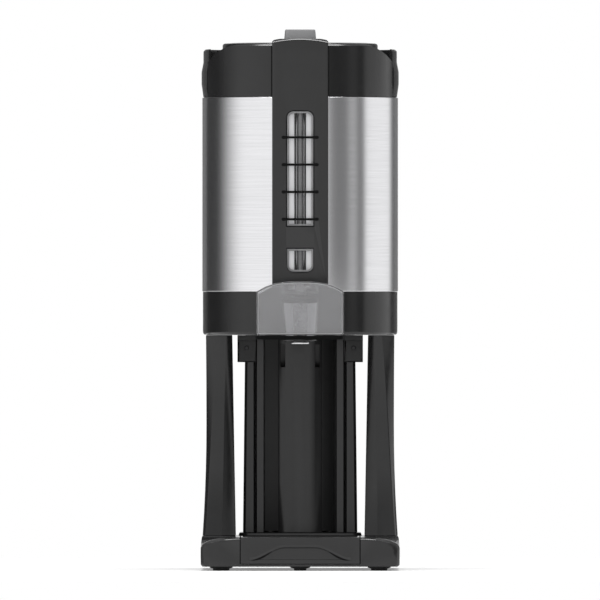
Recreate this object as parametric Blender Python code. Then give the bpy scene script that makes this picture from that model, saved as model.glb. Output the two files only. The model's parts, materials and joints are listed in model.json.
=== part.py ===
# Insulated coffee dispenser on an open stand: round steel body, sight gauge, lever faucet, drip tray.
# Metres, +Z up. The front faces -Y, the base rests on Z = 0 and the origin is under the middle.

import bmesh
import bpy
from math import acos, asin, cos, pi, radians, sin, sqrt, tan
from mathutils import Vector

# Driving sizes of the whole dispenser
BASE_WIDTH = 0.2260
BASE_DEPTH = 0.3050
BASE_HEIGHT = 0.0336
FOOT_HEIGHT = 0.0046
LEG_HEIGHT = 0.2293
BODY_RADIUS = 0.1118
BODY_SETBACK = 0.1930
BOTTOM_COLLAR_HEIGHT = 0.0495
STEEL_HEIGHT = 0.2214
TOP_COLLAR_HEIGHT = 0.0551
LID_RISE = 0.0068
TAB_RISE = 0.0151

# Driving sizes of the spine, the gauge and the faucet
SPINE_WIDTH = 0.0639
SPINE_PROUD = 0.0200
SPINE_RISE = 0.0042
TUBE_RADIUS = 0.0040
LEVER_WIDTH = 0.0992
LEVER_HEIGHT = 0.0612
SPOUT_DROP = 0.0105
SHANK_RADIUS = 0.0080
SHANK_WALL = 0.0030
SHANK_FLANGE = 0.0105

# Walls, clearances and cutting
GAP = 0.0003
WRAP_WALL = 0.0010
COLLAR_INSET = 0.0006
COLLAR_WALL = 0.0030
REAR_COVER_WALL = 0.0029
VESSEL_WALL = 0.0012
PLASTIC_WALL = 0.0028
OVERRUN = 0.0050
HANDLE_REACH = 0.0320
WELD = 0.000001

# How finely round shapes are drawn
BODY_STEPS = 64
VESSEL_STEPS = 32
SMALL_STEPS = 16
VALVE_STEPS = 28
CORNER_STEPS = 3
SHARP_ANGLE = radians(32)
FULL_TURN = 2 * pi
PANEL_ANGLE = radians(72)
SEAM_ANGLE = radians(0.4)
REAR_COVER_ANGLE = radians(38)

# Heights worked out from the driving sizes
BASE_TOP = FOOT_HEIGHT + BASE_HEIGHT
BODY_LOW = BASE_TOP + LEG_HEIGHT
STEEL_LOW = BODY_LOW + BOTTOM_COLLAR_HEIGHT
STEEL_TOP = STEEL_LOW + STEEL_HEIGHT
SHOULDER_TOP = STEEL_TOP + TOP_COLLAR_HEIGHT
LID_TOP = SHOULDER_TOP + LID_RISE
SPINE_TOP = LID_TOP + SPINE_RISE

# Depths worked out from the driving sizes, with the whole centred on the origin
REAR_RADIUS = BODY_RADIUS + GAP + REAR_COVER_WALL
WHOLE_DEPTH = BODY_SETBACK + REAR_RADIUS + HANDLE_REACH
BASE_FRONT = -WHOLE_DEPTH / 2
BASE_BACK = BASE_FRONT + BASE_DEPTH
BODY_Y = BASE_FRONT + BODY_SETBACK
BODY_FRONT = BODY_Y - BODY_RADIUS
SPINE_FRONT = BODY_FRONT - SPINE_PROUD
COLLAR_RADIUS = BODY_RADIUS - COLLAR_INSET
COLLAR_FRONT = BODY_Y - COLLAR_RADIUS
VESSEL_RADIUS = COLLAR_RADIUS - COLLAR_WALL - GAP


def clear_scene():
    for item in list(bpy.data.objects):
        bpy.data.objects.remove(item, do_unlink=True)


FINISHES = {
    "black_plastic": ((0.030, 0.030, 0.031), 0.38, 0.0, 1.0),
    "dark_plastic": ((0.018, 0.018, 0.019), 0.50, 0.0, 1.0),
    "grey_plastic": ((0.250, 0.250, 0.250), 0.45, 0.0, 1.0),
    "smoke_plastic": ((0.200, 0.200, 0.200), 0.12, 0.0, 0.55),
    "brushed_steel": ((0.620, 0.620, 0.620), 0.28, 1.0, 1.0),
    "plain_steel": ((0.560, 0.560, 0.570), 0.35, 1.0, 1.0),
    "black_steel": ((0.020, 0.020, 0.020), 0.35, 1.0, 1.0),
    "clear_glass": ((0.800, 0.820, 0.820), 0.05, 0.0, 0.35),
    "rubber": ((0.020, 0.020, 0.020), 0.80, 0.0, 1.0),
    "silicone": ((0.550, 0.540, 0.520), 0.60, 0.0, 1.0),
}


def finish_material(name, finish):
    colour, roughness, metallic, alpha = FINISHES[finish]
    material = bpy.data.materials.new(name)
    material.use_nodes = True
    shader = material.node_tree.nodes["Principled BSDF"]
    shader.inputs["Base Color"].default_value = (*colour, 1.0)
    shader.inputs["Roughness"].default_value = roughness
    shader.inputs["Metallic"].default_value = metallic
    shader.inputs["Alpha"].default_value = alpha
    return material


def place(name, mesh_data, finish=None):
    bmesh.ops.remove_doubles(mesh_data, verts=mesh_data.verts, dist=WELD)
    bmesh.ops.recalc_face_normals(mesh_data, faces=mesh_data.faces)
    mesh = bpy.data.meshes.new(name)
    mesh_data.to_mesh(mesh)
    mesh_data.free()
    item = bpy.data.objects.new(name, mesh)
    bpy.context.scene.collection.objects.link(item)
    mesh.shade_smooth()
    mesh.set_sharp_from_angle(angle=SHARP_ANGLE)
    if finish:
        mesh.materials.append(finish_material(name, finish))
    return item


# A hidden solid that shapes another by a Boolean
def tool(name, mesh_data):
    item = place(name, mesh_data)
    item.hide_render = True
    item.display_type = "WIRE"
    return item


def shape_with(item, mesh_data, operation, name):
    helper = tool(item.name + "_" + name, mesh_data)
    step = item.modifiers.new(name, "BOOLEAN")
    step.operation = operation
    step.object = helper
    step.solver = "EXACT"


def cut(item, mesh_data, name):
    shape_with(item, mesh_data, "DIFFERENCE", name)


def fuse(item, mesh_data, name):
    shape_with(item, mesh_data, "UNION", name)


# Moving pieces hang on an empty that stands on their joint's axis
def pivot(name, where):
    empty = bpy.data.objects.new(name, None)
    empty.location = where
    bpy.context.scene.collection.objects.link(empty)
    return empty


def hang(item, empty):
    item.parent = empty
    item.location = -empty.location


AXES = {"X": (1, 2, 0), "Y": (0, 2, 1), "Z": (0, 1, 2)}


def lay_out(point, along, height):
    first, second, third = AXES[along]
    spot = [0.0, 0.0, 0.0]
    spot[first] = point[0]
    spot[second] = point[1]
    spot[third] = height
    return spot


# A flat outline carried along one axis; outlines are (Y, Z) along X, (X, Z) along Y, (X, Y) along Z
def prism(outline, along, low, high):
    data = bmesh.new()
    ring = [data.verts.new(lay_out(point, along, low)) for point in outline]
    face = data.faces.new(ring)
    grown = bmesh.ops.extrude_face_region(data, geom=[face])
    moved = [part for part in grown["geom"] if isinstance(part, bmesh.types.BMVert)]
    bmesh.ops.translate(data, verts=moved, vec=lay_out((0.0, 0.0), along, high - low))
    return data


def block(x_span, y_span, z_span):
    corners = [(x_span[0], y_span[0]), (x_span[1], y_span[0]), (x_span[1], y_span[1]), (x_span[0], y_span[1])]
    return prism(corners, "Z", z_span[0], z_span[1])


# Corners are (first, second, radius); each radius becomes a short arc
def rounded(corners, steps=CORNER_STEPS):
    points = []
    for index, corner in enumerate(corners):
        here = Vector(corner[:2])
        radius = corner[2]
        if radius <= 0:
            points.append(here)
            continue
        back = (Vector(corners[index - 1][:2]) - here).normalized()
        ahead = (Vector(corners[(index + 1) % len(corners)][:2]) - here).normalized()
        half = back.angle(ahead) / 2
        centre = here + (back + ahead).normalized() * (radius / sin(half))
        start = here + back * (radius / tan(half)) - centre
        end = here + ahead * (radius / tan(half)) - centre
        sweep = start.angle(end)
        for step in range(steps + 1):
            share = step / steps
            blend = (start * sin((1 - share) * sweep) + end * sin(share * sweep)) / sin(sweep)
            points.append(centre + blend)
    return points


def rectangle(first_span, second_span, radius=0.0, steps=CORNER_STEPS):
    low, high = first_span
    bottom, top = second_span
    corners = [(low, bottom, radius), (high, bottom, radius), (high, top, radius), (low, top, radius)]
    return rounded(corners, steps)


def circle(centre, radius, steps):
    angles = [FULL_TURN * step / steps for step in range(steps)]
    return [(centre[0] + radius * sin(angle), centre[1] - radius * cos(angle)) for angle in angles]


def rod(along, centre, radius, low, high, steps=SMALL_STEPS):
    return prism(circle(centre, radius, steps), along, low, high)


# A (radius, height) profile turned round an upright axis; a profile off the axis is a closed loop
def turned(profile, centre=(0.0, 0.0), steps=BODY_STEPS):
    data = bmesh.new()
    line = [data.verts.new((centre[0], centre[1] - radius, height)) for radius, height in profile]
    edges = [data.edges.new(pair) for pair in zip(line, line[1:])]
    if profile[0][0] > 0:
        edges.append(data.edges.new((line[-1], line[0])))
    bmesh.ops.spin(data, geom=line + edges, cent=(centre[0], centre[1], 0.0), axis=(0.0, 0.0, 1.0),
                   angle=FULL_TURN, steps=steps, use_duplicate=False)
    bmesh.ops.remove_doubles(data, verts=data.verts, dist=WELD)
    return data


# The same for part of a turn, from one angle to another, both measured from the front
def turned_arc(profile, centre, start, end, steps):
    data = bmesh.new()
    first = [(centre[0] + radius * sin(start), centre[1] - radius * cos(start), height)
             for radius, height in profile]
    face = data.faces.new([data.verts.new(spot) for spot in first])
    bmesh.ops.spin(data, geom=[face], cent=(centre[0], centre[1], 0.0), axis=(0.0, 0.0, 1.0),
                   angle=end - start, steps=steps, use_duplicate=False)
    return data


# The second skin of a turned wall: the path set off to its left by the wall
def walled(path, wall):
    inner = []
    for index, spot in enumerate(path):
        here = Vector(spot)
        sides = []
        if index > 0:
            sides.append((here - Vector(path[index - 1])).normalized())
        if index < len(path) - 1:
            sides.append((Vector(path[index + 1]) - here).normalized())
        normals = [Vector((-side.y, side.x)) for side in sides]
        middle = sum(normals, Vector((0.0, 0.0))).normalized()
        inner.append(here + middle * (wall / middle.dot(normals[0])))
    return [tuple(spot) for spot in path] + [tuple(spot) for spot in reversed(inner)]


# Closed rings of equal count bridged into one solid
def lofted(rings):
    data = bmesh.new()
    loops = [[data.verts.new(spot) for spot in ring] for ring in rings]
    count = len(rings[0])
    for lower, upper in zip(loops, loops[1:]):
        for index in range(count):
            follow = (index + 1) % count
            data.faces.new((lower[index], lower[follow], upper[follow], upper[index]))
    data.faces.new(loops[0])
    data.faces.new(loops[-1])
    return data


def soften(data, pick, width, segments=2):
    edges = [edge for edge in data.edges if all(pick(vert.co) for vert in edge.verts)]
    bmesh.ops.bevel(data, geom=edges, offset=width, offset_type="OFFSET", segments=segments,
                    profile=0.5, affect="EDGES")
    return data


def at_depth(depth):
    return lambda spot: abs(spot.y - depth) < WELD


def at_height(height):
    return lambda spot: abs(spot.z - height) < WELD


# The base and its corner pads

TRAY_MARGIN = 0.0454
TRAY_WIDTH = BASE_WIDTH - 2 * TRAY_MARGIN
TRAY_DEPTH = 0.1650
TRAY_FLOOR = 0.0025
TRAY_CLEARANCE = 0.0006
TRAY_HALF = TRAY_WIDTH / 2
TRAY_BACK = BASE_FRONT + TRAY_DEPTH
FLOOR_PLATE = 0.0030
PLINTH_HEIGHT = 0.0037
PLINTH_TOP = BASE_TOP + PLINTH_HEIGHT


# One cross-section of the base, flat below and rounded off towards each side above
def base_section(depth, inset, shoulder_drop, shoulder_run):
    low_edge = 0.0020
    half = BASE_WIDTH / 2 - inset
    top = BASE_TOP - inset / 2
    side_top = top - shoulder_drop
    right = [(half - low_edge, FOOT_HEIGHT), (half, FOOT_HEIGHT + low_edge)]
    for step in range(CORNER_STEPS + 2):
        angle = pi / 2 * step / (CORNER_STEPS + 1)
        right.append((half - shoulder_run * (1 - cos(angle)), side_top + shoulder_drop * sin(angle)))
    left = [(-across, height) for across, height in reversed(right)]
    return [(across, depth, height) for across, height in right + left]


def base_frame():
    pad_drop = 0.0120
    pad_run = 0.0370
    rail_drop = 0.0130
    rail_run = 0.0017
    pad_length = 0.0720
    blend_length = 0.0300
    front_round = 0.0080
    pocket_wall = 0.0040
    pocket_height = 0.0150
    plinth_margin = 0.0047
    plinth_half = COLUMN_FOOT_HALF + plinth_margin
    plinth_round = 0.0100
    plinth_start = 0.0120
    plinth_end = 0.0250
    boss_radius = 0.0140
    rings = []
    for step in range(CORNER_STEPS):
        angle = pi / 2 * step / CORNER_STEPS
        rings.append(base_section(BASE_FRONT + front_round * (1 - cos(angle)),
                                  front_round * (1 - sin(angle)), pad_drop, pad_run))
    rings.append(base_section(BASE_FRONT + front_round, 0.0, pad_drop, pad_run))
    rings.append(base_section(BASE_FRONT + pad_length, 0.0, pad_drop, pad_run))
    rings.append(base_section(BASE_FRONT + pad_length + blend_length, 0.0, rail_drop, rail_run))
    rings.append(base_section(BASE_BACK - front_round, 0.0, rail_drop, rail_run))
    for step in range(1, CORNER_STEPS + 1):
        angle = pi / 2 * step / CORNER_STEPS
        rings.append(base_section(BASE_BACK - front_round * (1 - sin(angle)),
                                  front_round * (1 - cos(angle)), rail_drop, rail_run))
    item = place("base_frame", lofted(rings), "black_plastic")

    plinth = rectangle((-plinth_half, plinth_half), (TRAY_BACK + plinth_start, BASE_BACK - plinth_end),
                       plinth_round)
    solid = prism(plinth, "Z", BASE_TOP - PLINTH_HEIGHT, PLINTH_TOP)
    fuse(item, soften(solid, at_height(PLINTH_TOP), PLINTH_HEIGHT / 2), "plinth")

    bay_half = TRAY_HALF + TRAY_CLEARANCE
    bay = block((-bay_half, bay_half), (BASE_FRONT - OVERRUN, TRAY_BACK + TRAY_CLEARANCE),
                (FOOT_HEIGHT + FLOOR_PLATE, BASE_TOP + OVERRUN))
    cut(item, bay, "bay")

    # Pockets under each rail and under the back leave an open moulding with foot bosses
    rail_inner = bay_half + pocket_wall
    rail_outer = BASE_WIDTH / 2 - pocket_wall
    pocket_front = BASE_FRONT + front_round + pocket_wall
    for side in (-1, 1):
        span = sorted((side * rail_inner, side * rail_outer))
        pocket = block(span, (pocket_front, TRAY_BACK), (FOOT_HEIGHT - OVERRUN, FOOT_HEIGHT + pocket_height))
        cut(item, pocket, "pocket_" + ("left" if side < 0 else "right"))
    back_pocket = block((-rail_outer, rail_outer), (TRAY_BACK + pocket_wall, BASE_BACK - pocket_wall),
                        (FOOT_HEIGHT - OVERRUN, FOOT_HEIGHT + pocket_height))
    cut(item, back_pocket, "pocket_back")
    for label, (across, depth) in foot_places().items():
        if label == "middle":
            continue
        boss = rod("Z", (across, depth), boss_radius, FOOT_HEIGHT, FOOT_HEIGHT + pocket_height + OVERRUN / 2)
        fuse(item, boss, "boss_" + label)
    return item


# The feet stand on the table and carry the base

FOOT_INSET_X = 0.0233
FOOT_INSET_FRONT = 0.0240
FOOT_INSET_BACK = 0.0240


def foot_places():
    side = BASE_WIDTH / 2 - FOOT_INSET_X
    front = BASE_FRONT + FOOT_INSET_FRONT
    back = BASE_BACK - FOOT_INSET_BACK
    return {
        "front_left": (-side, front),
        "front_right": (side, front),
        "back_left": (-side, back),
        "back_right": (side, back),
        "middle": (0.0, front),
    }


def feet():
    corner_radius = 0.0094
    corner_flare = 0.0037
    middle_radius = 0.0071
    middle_flare = 0.0043
    edge = 0.0008
    for label, centre in foot_places().items():
        radius = middle_radius if label == "middle" else corner_radius
        flare = middle_flare if label == "middle" else corner_flare
        top = FOOT_HEIGHT - GAP
        profile = [(0.0, 0.0), (radius - edge, 0.0), (radius, edge), (radius, FOOT_HEIGHT / 2),
                   (radius + flare, top - edge), (radius + flare, top), (0.0, top)]
        place("foot_" + label, turned(profile, centre, SMALL_STEPS), "rubber")


# The drip tray slides out forward; its front has an arched finger scoop

TRAY_BOTTOM = FOOT_HEIGHT + FLOOR_PLATE + GAP
TRAY_FRONT_WALL = 0.0160
TRAY_WALL = 0.0026
GRATE_THICKNESS = 0.0035
GRATE_TOP_DROP = 0.0008
GRATE_ROUND = 0.0018
GRATE_LOW = BASE_TOP - GRATE_TOP_DROP - GRATE_THICKNESS


def drip_tray():
    scoop_margin = 0.0106
    scoop_slope = 0.0210
    scoop_curve = 0.0145
    scoop_half = TRAY_HALF - scoop_margin
    scoop_shoulder_half = scoop_half - scoop_slope
    scoop_flat_half = scoop_shoulder_half - scoop_curve
    scoop_low = 0.0050
    scoop_shoulder = 0.0125
    scoop_high = 0.0187
    scoop_depth = 0.0115
    ledge = 0.0018
    edge = 0.0012
    item_low = TRAY_BOTTOM
    span = (-TRAY_HALF, TRAY_HALF)
    solid = block(span, (BASE_FRONT, TRAY_BACK), (item_low, BASE_TOP))
    soften(solid, lambda spot: abs(spot.z - BASE_TOP) < WELD and abs(spot.y - BASE_FRONT) < WELD, edge)
    item = place("drip_tray", solid, "black_plastic")
    inner = rectangle((-TRAY_HALF + TRAY_WALL + ledge, TRAY_HALF - TRAY_WALL - ledge),
                      (BASE_FRONT + TRAY_FRONT_WALL + ledge, TRAY_BACK - TRAY_WALL - ledge), ledge)
    cut(item, prism(inner, "Z", item_low + TRAY_FLOOR, BASE_TOP + OVERRUN), "basin")
    seat = rectangle((-TRAY_HALF + TRAY_WALL, TRAY_HALF - TRAY_WALL),
                     (BASE_FRONT + TRAY_FRONT_WALL, TRAY_BACK - TRAY_WALL), GRATE_ROUND)
    cut(item, prism(seat, "Z", GRATE_LOW - GAP, BASE_TOP + OVERRUN), "grate_seat")
    low = item_low + scoop_low
    shoulder = item_low + scoop_shoulder
    high = item_low + scoop_high
    rise = (high - shoulder) * SCOOP_SHOULDER_SHARE
    right = [
        (scoop_half, low),
        (mix(scoop_half, scoop_shoulder_half, SCOOP_SHOULDER_SHARE), mix(low, shoulder, SCOOP_SHOULDER_SHARE)),
        (scoop_shoulder_half, shoulder),
        (mix(scoop_shoulder_half, scoop_flat_half, SCOOP_SHOULDER_SHARE), shoulder + rise),
        (scoop_flat_half, high),
    ]
    arch = right + [(-across, height) for across, height in reversed(right)]
    cut(item, prism(arch, "Y", BASE_FRONT - OVERRUN, BASE_FRONT + scoop_depth), "scoop")
    return item


SCOOP_SHOULDER_SHARE = 0.58


def drip_grate():
    slot_count = 9
    slot_width = 0.0060
    slot_margin = 0.0110
    half = TRAY_HALF - TRAY_WALL - GAP
    front = BASE_FRONT + TRAY_FRONT_WALL + GAP
    back = TRAY_BACK - TRAY_WALL - GAP
    plate = rectangle((-half, half), (front, back), GRATE_ROUND)
    item = place("drip_grate", prism(plate, "Z", GRATE_LOW, GRATE_LOW + GRATE_THICKNESS), "black_plastic")
    pitch = (back - front - 2 * slot_margin) / (slot_count - 1)
    for index in range(slot_count):
        middle = front + slot_margin + index * pitch
        outline = rectangle((-half + slot_margin, half - slot_margin),
                            (middle - slot_width / 2, middle + slot_width / 2))
        cut(item, prism(outline, "Z", GRATE_LOW - OVERRUN, GRATE_LOW + GRATE_THICKNESS + OVERRUN),
            "slot_" + str(index + 1))
    return item


# The side legs: an inner bevel, a front plane that widens downwards, and an outer bevel

LEG_TOP_DEPTH = 0.0860
LEG_WAIST_DEPTH = 0.0640
LEG_FOOT_DEPTH = 0.1500
LEG_TOP_TUCK = 0.0043
LEG_TOP_WIDTH = 0.0300
LEG_FOOT_TUCK = 0.0018
LEG_FOOT_WIDTH = 0.0377
LEG_WAIST_TUCK = 0.0042
LEG_TOP_OUTER = BODY_RADIUS - LEG_TOP_TUCK
LEG_TOP_INNER = LEG_TOP_OUTER - LEG_TOP_WIDTH
LEG_FOOT_OUTER = BASE_WIDTH / 2 - LEG_FOOT_TUCK
LEG_FOOT_INNER = LEG_FOOT_OUTER - LEG_FOOT_WIDTH
LEG_WAIST_OUTER = LEG_FOOT_OUTER - LEG_WAIST_TUCK


def mix(low, high, share):
    return low + (high - low) * share


def leg_ring(side, share):
    bevel_depth = 0.0090
    inner_bevel_foot = 0.0152
    inner_bevel_top = 0.0072
    outer_bevel_foot = 0.0030
    outer_bevel_growth = 0.0114
    back_depth = 0.0060
    back_share = 0.30
    corner = 0.0016
    height = mix(BASE_TOP + GAP, BODY_LOW - GAP, share)
    swell = max(0.0, 1 - share / LEG_WAIST_SHARE) ** 2
    rise = max(0.0, (share - LEG_WAIST_SHARE) / (1 - LEG_WAIST_SHARE)) ** 2
    inner = mix(LEG_FOOT_INNER, LEG_TOP_INNER, share)
    outer = LEG_WAIST_OUTER + (LEG_FOOT_OUTER - LEG_WAIST_OUTER) * swell
    outer += (LEG_TOP_OUTER - LEG_WAIST_OUTER) * rise
    depth = LEG_WAIST_DEPTH + (LEG_FOOT_DEPTH - LEG_WAIST_DEPTH) * swell
    depth += (LEG_TOP_DEPTH - LEG_WAIST_DEPTH) * rise
    front = BODY_Y - depth / 2
    back = BODY_Y + depth / 2
    near = inner + mix(inner_bevel_foot, inner_bevel_top, share)
    far = outer - outer_bevel_foot - outer_bevel_growth * share ** 2
    corners = [
        (inner, front + bevel_depth, corner),
        (near, front, corner),
        (far, front, corner),
        (outer, front + bevel_depth, corner),
        (outer, back - back_depth, corner),
        (mix(inner, outer, back_share), back, corner),
        (inner, back - back_depth, corner),
    ]
    return [(side * point[0], point[1], height) for point in rounded(corners, 2)]


LEG_WAIST_SHARE = 0.55
LEG_RINGS = 10


def legs():
    for side, label in ((-1, "left"), (1, "right")):
        rings = [leg_ring(side, index / (LEG_RINGS - 1)) for index in range(LEG_RINGS)]
        place(label + "_leg", lofted(rings), "black_plastic")


# The rear column: one folded sheet with outer flanges, deep flutes and a rounded middle

COLUMN_TOP_GAP = 0.0147
COLUMN_FOOT_GAP = 0.0082
COLUMN_TOP_HALF = LEG_TOP_INNER - COLUMN_TOP_GAP
COLUMN_FOOT_HALF = LEG_FOOT_INNER - COLUMN_FOOT_GAP
COLUMN_SETBACK = 0.1840
COLUMN_DEPTH = 0.0880
COLUMN_WALL = 0.0030


def column_path(half):
    groove_start = 0.0095
    groove = 0.0040
    groove_depth = 0.0040
    band = 0.0074
    flute_width = 0.0166
    flute_draft = 0.0072
    flute_depth = 0.0400
    middle_depth = 0.0160
    middle_bulge = 0.0060
    middle_steps = 6
    edge = 0.0030
    front = BASE_FRONT + COLUMN_SETBACK
    back = front + COLUMN_DEPTH
    groove_outer = COLUMN_TOP_HALF - groove_start
    groove_inner = groove_outer - groove
    inner = groove_inner - band
    middle = inner - flute_width
    right = [
        (half, back),
        (half, front + edge),
        (half - edge, front),
        (groove_outer, front),
        (groove_outer - groove / 2, front + groove_depth),
        (groove_inner, front),
        (inner, front),
        (inner - flute_draft, front + flute_depth),
        (middle + flute_draft, front + flute_depth),
    ]
    side_count = len(right)
    for step in range(middle_steps + 1):
        share = step / middle_steps
        across = middle * (1 - 2 * share)
        bulge = middle_bulge * sqrt(max(0.0, 1 - (1 - 2 * share) ** 2))
        right.append((across, front + middle_depth - bulge))
    left = [(-across, depth) for across, depth in reversed(right[:side_count])]
    return right + left


def column_ring(half, height):
    path = [(across, depth) for across, depth in column_path(half)]
    return [(across, depth, height) for across, depth in walled(path, -COLUMN_WALL)]


def rear_column():
    low = PLINTH_TOP + GAP
    high = BODY_LOW - GAP
    slot_half = 0.0026
    slot_middle = 0.0197
    slot_low = 0.0370
    slot_high = 0.0110
    rings = [column_ring(COLUMN_FOOT_HALF, low), column_ring(COLUMN_TOP_HALF, high)]
    item = place("rear_column", lofted(rings), "black_plastic")
    front = BASE_FRONT + COLUMN_SETBACK
    for side, label in ((-1, "left"), (1, "right")):
        span = (side * slot_middle - slot_half, side * slot_middle + slot_half)
        slot = block(span, (front - OVERRUN, front + COLUMN_DEPTH / 2),
                     (BODY_LOW - slot_low, BODY_LOW - slot_high))
        cut(item, slot, "slot_" + label)
    return item


def column_back_cover():
    wall = 0.0030
    lip = 0.0060
    front = BASE_FRONT + COLUMN_SETBACK + COLUMN_DEPTH
    rings = []
    for half, height in ((COLUMN_FOOT_HALF, PLINTH_TOP + GAP), (COLUMN_TOP_HALF, BODY_LOW - GAP)):
        inside = half - COLUMN_WALL - GAP
        near = front + GAP
        outline = [(half, near), (half, near + wall), (-half, near + wall), (-half, near),
                   (-inside, near), (-inside, front - lip), (-inside + wall, front - lip),
                   (-inside + wall, near), (inside - wall, near), (inside - wall, front - lip),
                   (inside, front - lip), (inside, near)]
        rings.append([(across, depth, height) for across, depth in outline])
    return place("column_back_cover", lofted(rings), "black_plastic")


# Brackets that tie the column's flanges to the body's underside, with a screw in each

BRACKET_WIDTH = 0.0212
BRACKET_HEIGHT = 0.0312
BRACKET_GAP = 0.0059
BRACKET_OUTER = LEG_TOP_INNER - BRACKET_GAP
BRACKET_WALL = 0.0060
BRACKET_SCREW_DROP = 0.0150


def column_brackets():
    top_reach = 0.0200
    edge = 0.0015
    head_radius = 0.0026
    head_height = 0.0012
    head_edge = 0.0006
    face = BASE_FRONT + COLUMN_SETBACK - GAP
    top = BODY_LOW - GAP
    low = BODY_LOW - BRACKET_HEIGHT
    for side, label in ((-1, "left"), (1, "right")):
        span = sorted((side * BRACKET_OUTER, side * (BRACKET_OUTER - BRACKET_WIDTH)))
        outline = [(face, low), (face - BRACKET_WALL, low), (face - BRACKET_WALL, top - BRACKET_WALL),
                   (face - top_reach, top - BRACKET_WALL), (face - top_reach, top), (face, top)]
        solid = prism(outline, "X", span[0], span[1])
        front = face - BRACKET_WALL
        place(label + "_column_bracket", soften(solid, at_depth(front), edge, 1), "dark_plastic")
        middle = (span[0] + span[1]) / 2
        screw_height = BODY_LOW - BRACKET_SCREW_DROP
        head = [(0.0, 0.0), (head_radius, 0.0), (head_radius, head_height - head_edge),
                (head_radius - head_edge, head_height), (0.0, head_height)]
        screw_data = turned(head, (0.0, 0.0), SMALL_STEPS)
        turn_forward(screw_data, (middle, front - GAP, screw_height))
        place(label + "_bracket_screw", screw_data, "black_steel")


# Turns an upright shape so that its top points forward, and puts its foot at a place
def turn_forward(data, where):
    for vert in data.verts:
        across, depth, height = vert.co
        vert.co = (where[0] + across, where[1] - height, where[2] + depth)
    return data


# Body: bottom plate, bottom collar, vacuum flask and steel wrap

PLATE_THICKNESS = 0.0040
COLLAR_FILLET = 0.0040


def body_centre():
    return (0.0, BODY_Y)


def bottom_plate():
    radius = COLLAR_RADIUS - COLLAR_WALL - GAP
    profile = [(0.0, BODY_LOW), (radius, BODY_LOW), (radius, BODY_LOW + PLATE_THICKNESS),
               (0.0, BODY_LOW + PLATE_THICKNESS)]
    return place("bottom_plate", turned(profile, body_centre(), VESSEL_STEPS), "dark_plastic")


def shank_hole(radius):
    return rod("Y", (0.0, SHANK_Z), radius, BODY_FRONT - OVERRUN, BODY_Y - VESSEL_RADIUS / 2)


def bottom_collar():
    inner = COLLAR_RADIUS - COLLAR_WALL
    top = STEEL_LOW - GAP
    outer = [(COLLAR_RADIUS, top)]
    for step in range(CORNER_STEPS + 1):
        angle = pi / 2 * step / CORNER_STEPS
        outer.append((COLLAR_RADIUS - COLLAR_FILLET * (1 - cos(angle)) * COLLAR_TUCK_SHARE,
                      BODY_LOW + COLLAR_FILLET * (1 - sin(angle))))
    profile = outer + [(inner, BODY_LOW), (inner, top)]
    item = place("bottom_collar", turned(profile, body_centre()), "black_plastic")
    cut(item, shank_hole(SHANK_RADIUS + GAP), "shank_hole")
    return item


COLLAR_TUCK_SHARE = 0.6

FLASK_CORNER = 0.0060
NECK_SHOULDER = 0.0492
NECK_RADIUS = COLLAR_RADIUS - NECK_SHOULDER
MOUTH_DROP = 0.0070
LINER_GAP = 0.0099
LINER_CORNER = 0.0040
LINER_LIFT = 0.0040
LINER_LIP = 0.0050
NECK_CLEARANCE = 0.0028
FLASK_LOW = BODY_LOW + PLATE_THICKNESS + GAP
LINER_RADIUS = VESSEL_RADIUS - LINER_GAP
LINER_LOW = FLASK_LOW + VESSEL_WALL + LINER_LIFT
LINER_SHOULDER = STEEL_TOP - LINER_GAP
LINER_SEAM_DROP = 0.0040
LINER_SEAM = LINER_SHOULDER - LINER_SEAM_DROP
MOUTH = SHOULDER_TOP - MOUTH_DROP
NECK_HEIGHT = 0.0200
NECK_FOOT = MOUTH - NECK_HEIGHT
LINER_NECK = NECK_RADIUS - VESSEL_WALL - NECK_CLEARANCE
SHANK_RISE = 0.0160
SHANK_Z = LINER_LOW + SHANK_RISE


def flask_shell():
    path = [(0.0, FLASK_LOW), (VESSEL_RADIUS - FLASK_CORNER, FLASK_LOW), (VESSEL_RADIUS, FLASK_LOW + FLASK_CORNER),
            (VESSEL_RADIUS, STEEL_TOP - FLASK_CORNER), (NECK_RADIUS + FLASK_CORNER, NECK_FOOT - FLASK_CORNER),
            (NECK_RADIUS, NECK_FOOT), (NECK_RADIUS, MOUTH)]
    item = place("flask_shell", turned(walled(path, VESSEL_WALL), body_centre(), VESSEL_STEPS), "plain_steel")
    cut(item, shank_hole(SHANK_RADIUS + GAP), "shank_hole")
    return item


def inner_liner():
    path = [(0.0, LINER_LOW), (LINER_RADIUS - LINER_CORNER, LINER_LOW), (LINER_RADIUS, LINER_LOW + LINER_CORNER),
            (LINER_RADIUS, LINER_SEAM - GAP)]
    item = place("inner_liner", turned(walled(path, VESSEL_WALL), body_centre(), VESSEL_STEPS), "plain_steel")
    cut(item, shank_hole(SHANK_RADIUS + GAP), "shank_hole")
    return item


# The liner's shoulder and neck are drawn from a second piece, welded on above the seam
def liner_neck():
    top = MOUTH + GAP
    path = [(LINER_RADIUS, LINER_SEAM), (LINER_RADIUS, LINER_SHOULDER), (LINER_NECK, NECK_FOOT - LINER_GAP),
            (LINER_NECK, top), (NECK_RADIUS + LINER_LIP, top)]
    return place("liner_neck", turned(walled(path, VESSEL_WALL), body_centre(), VESSEL_STEPS), "plain_steel")


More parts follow.
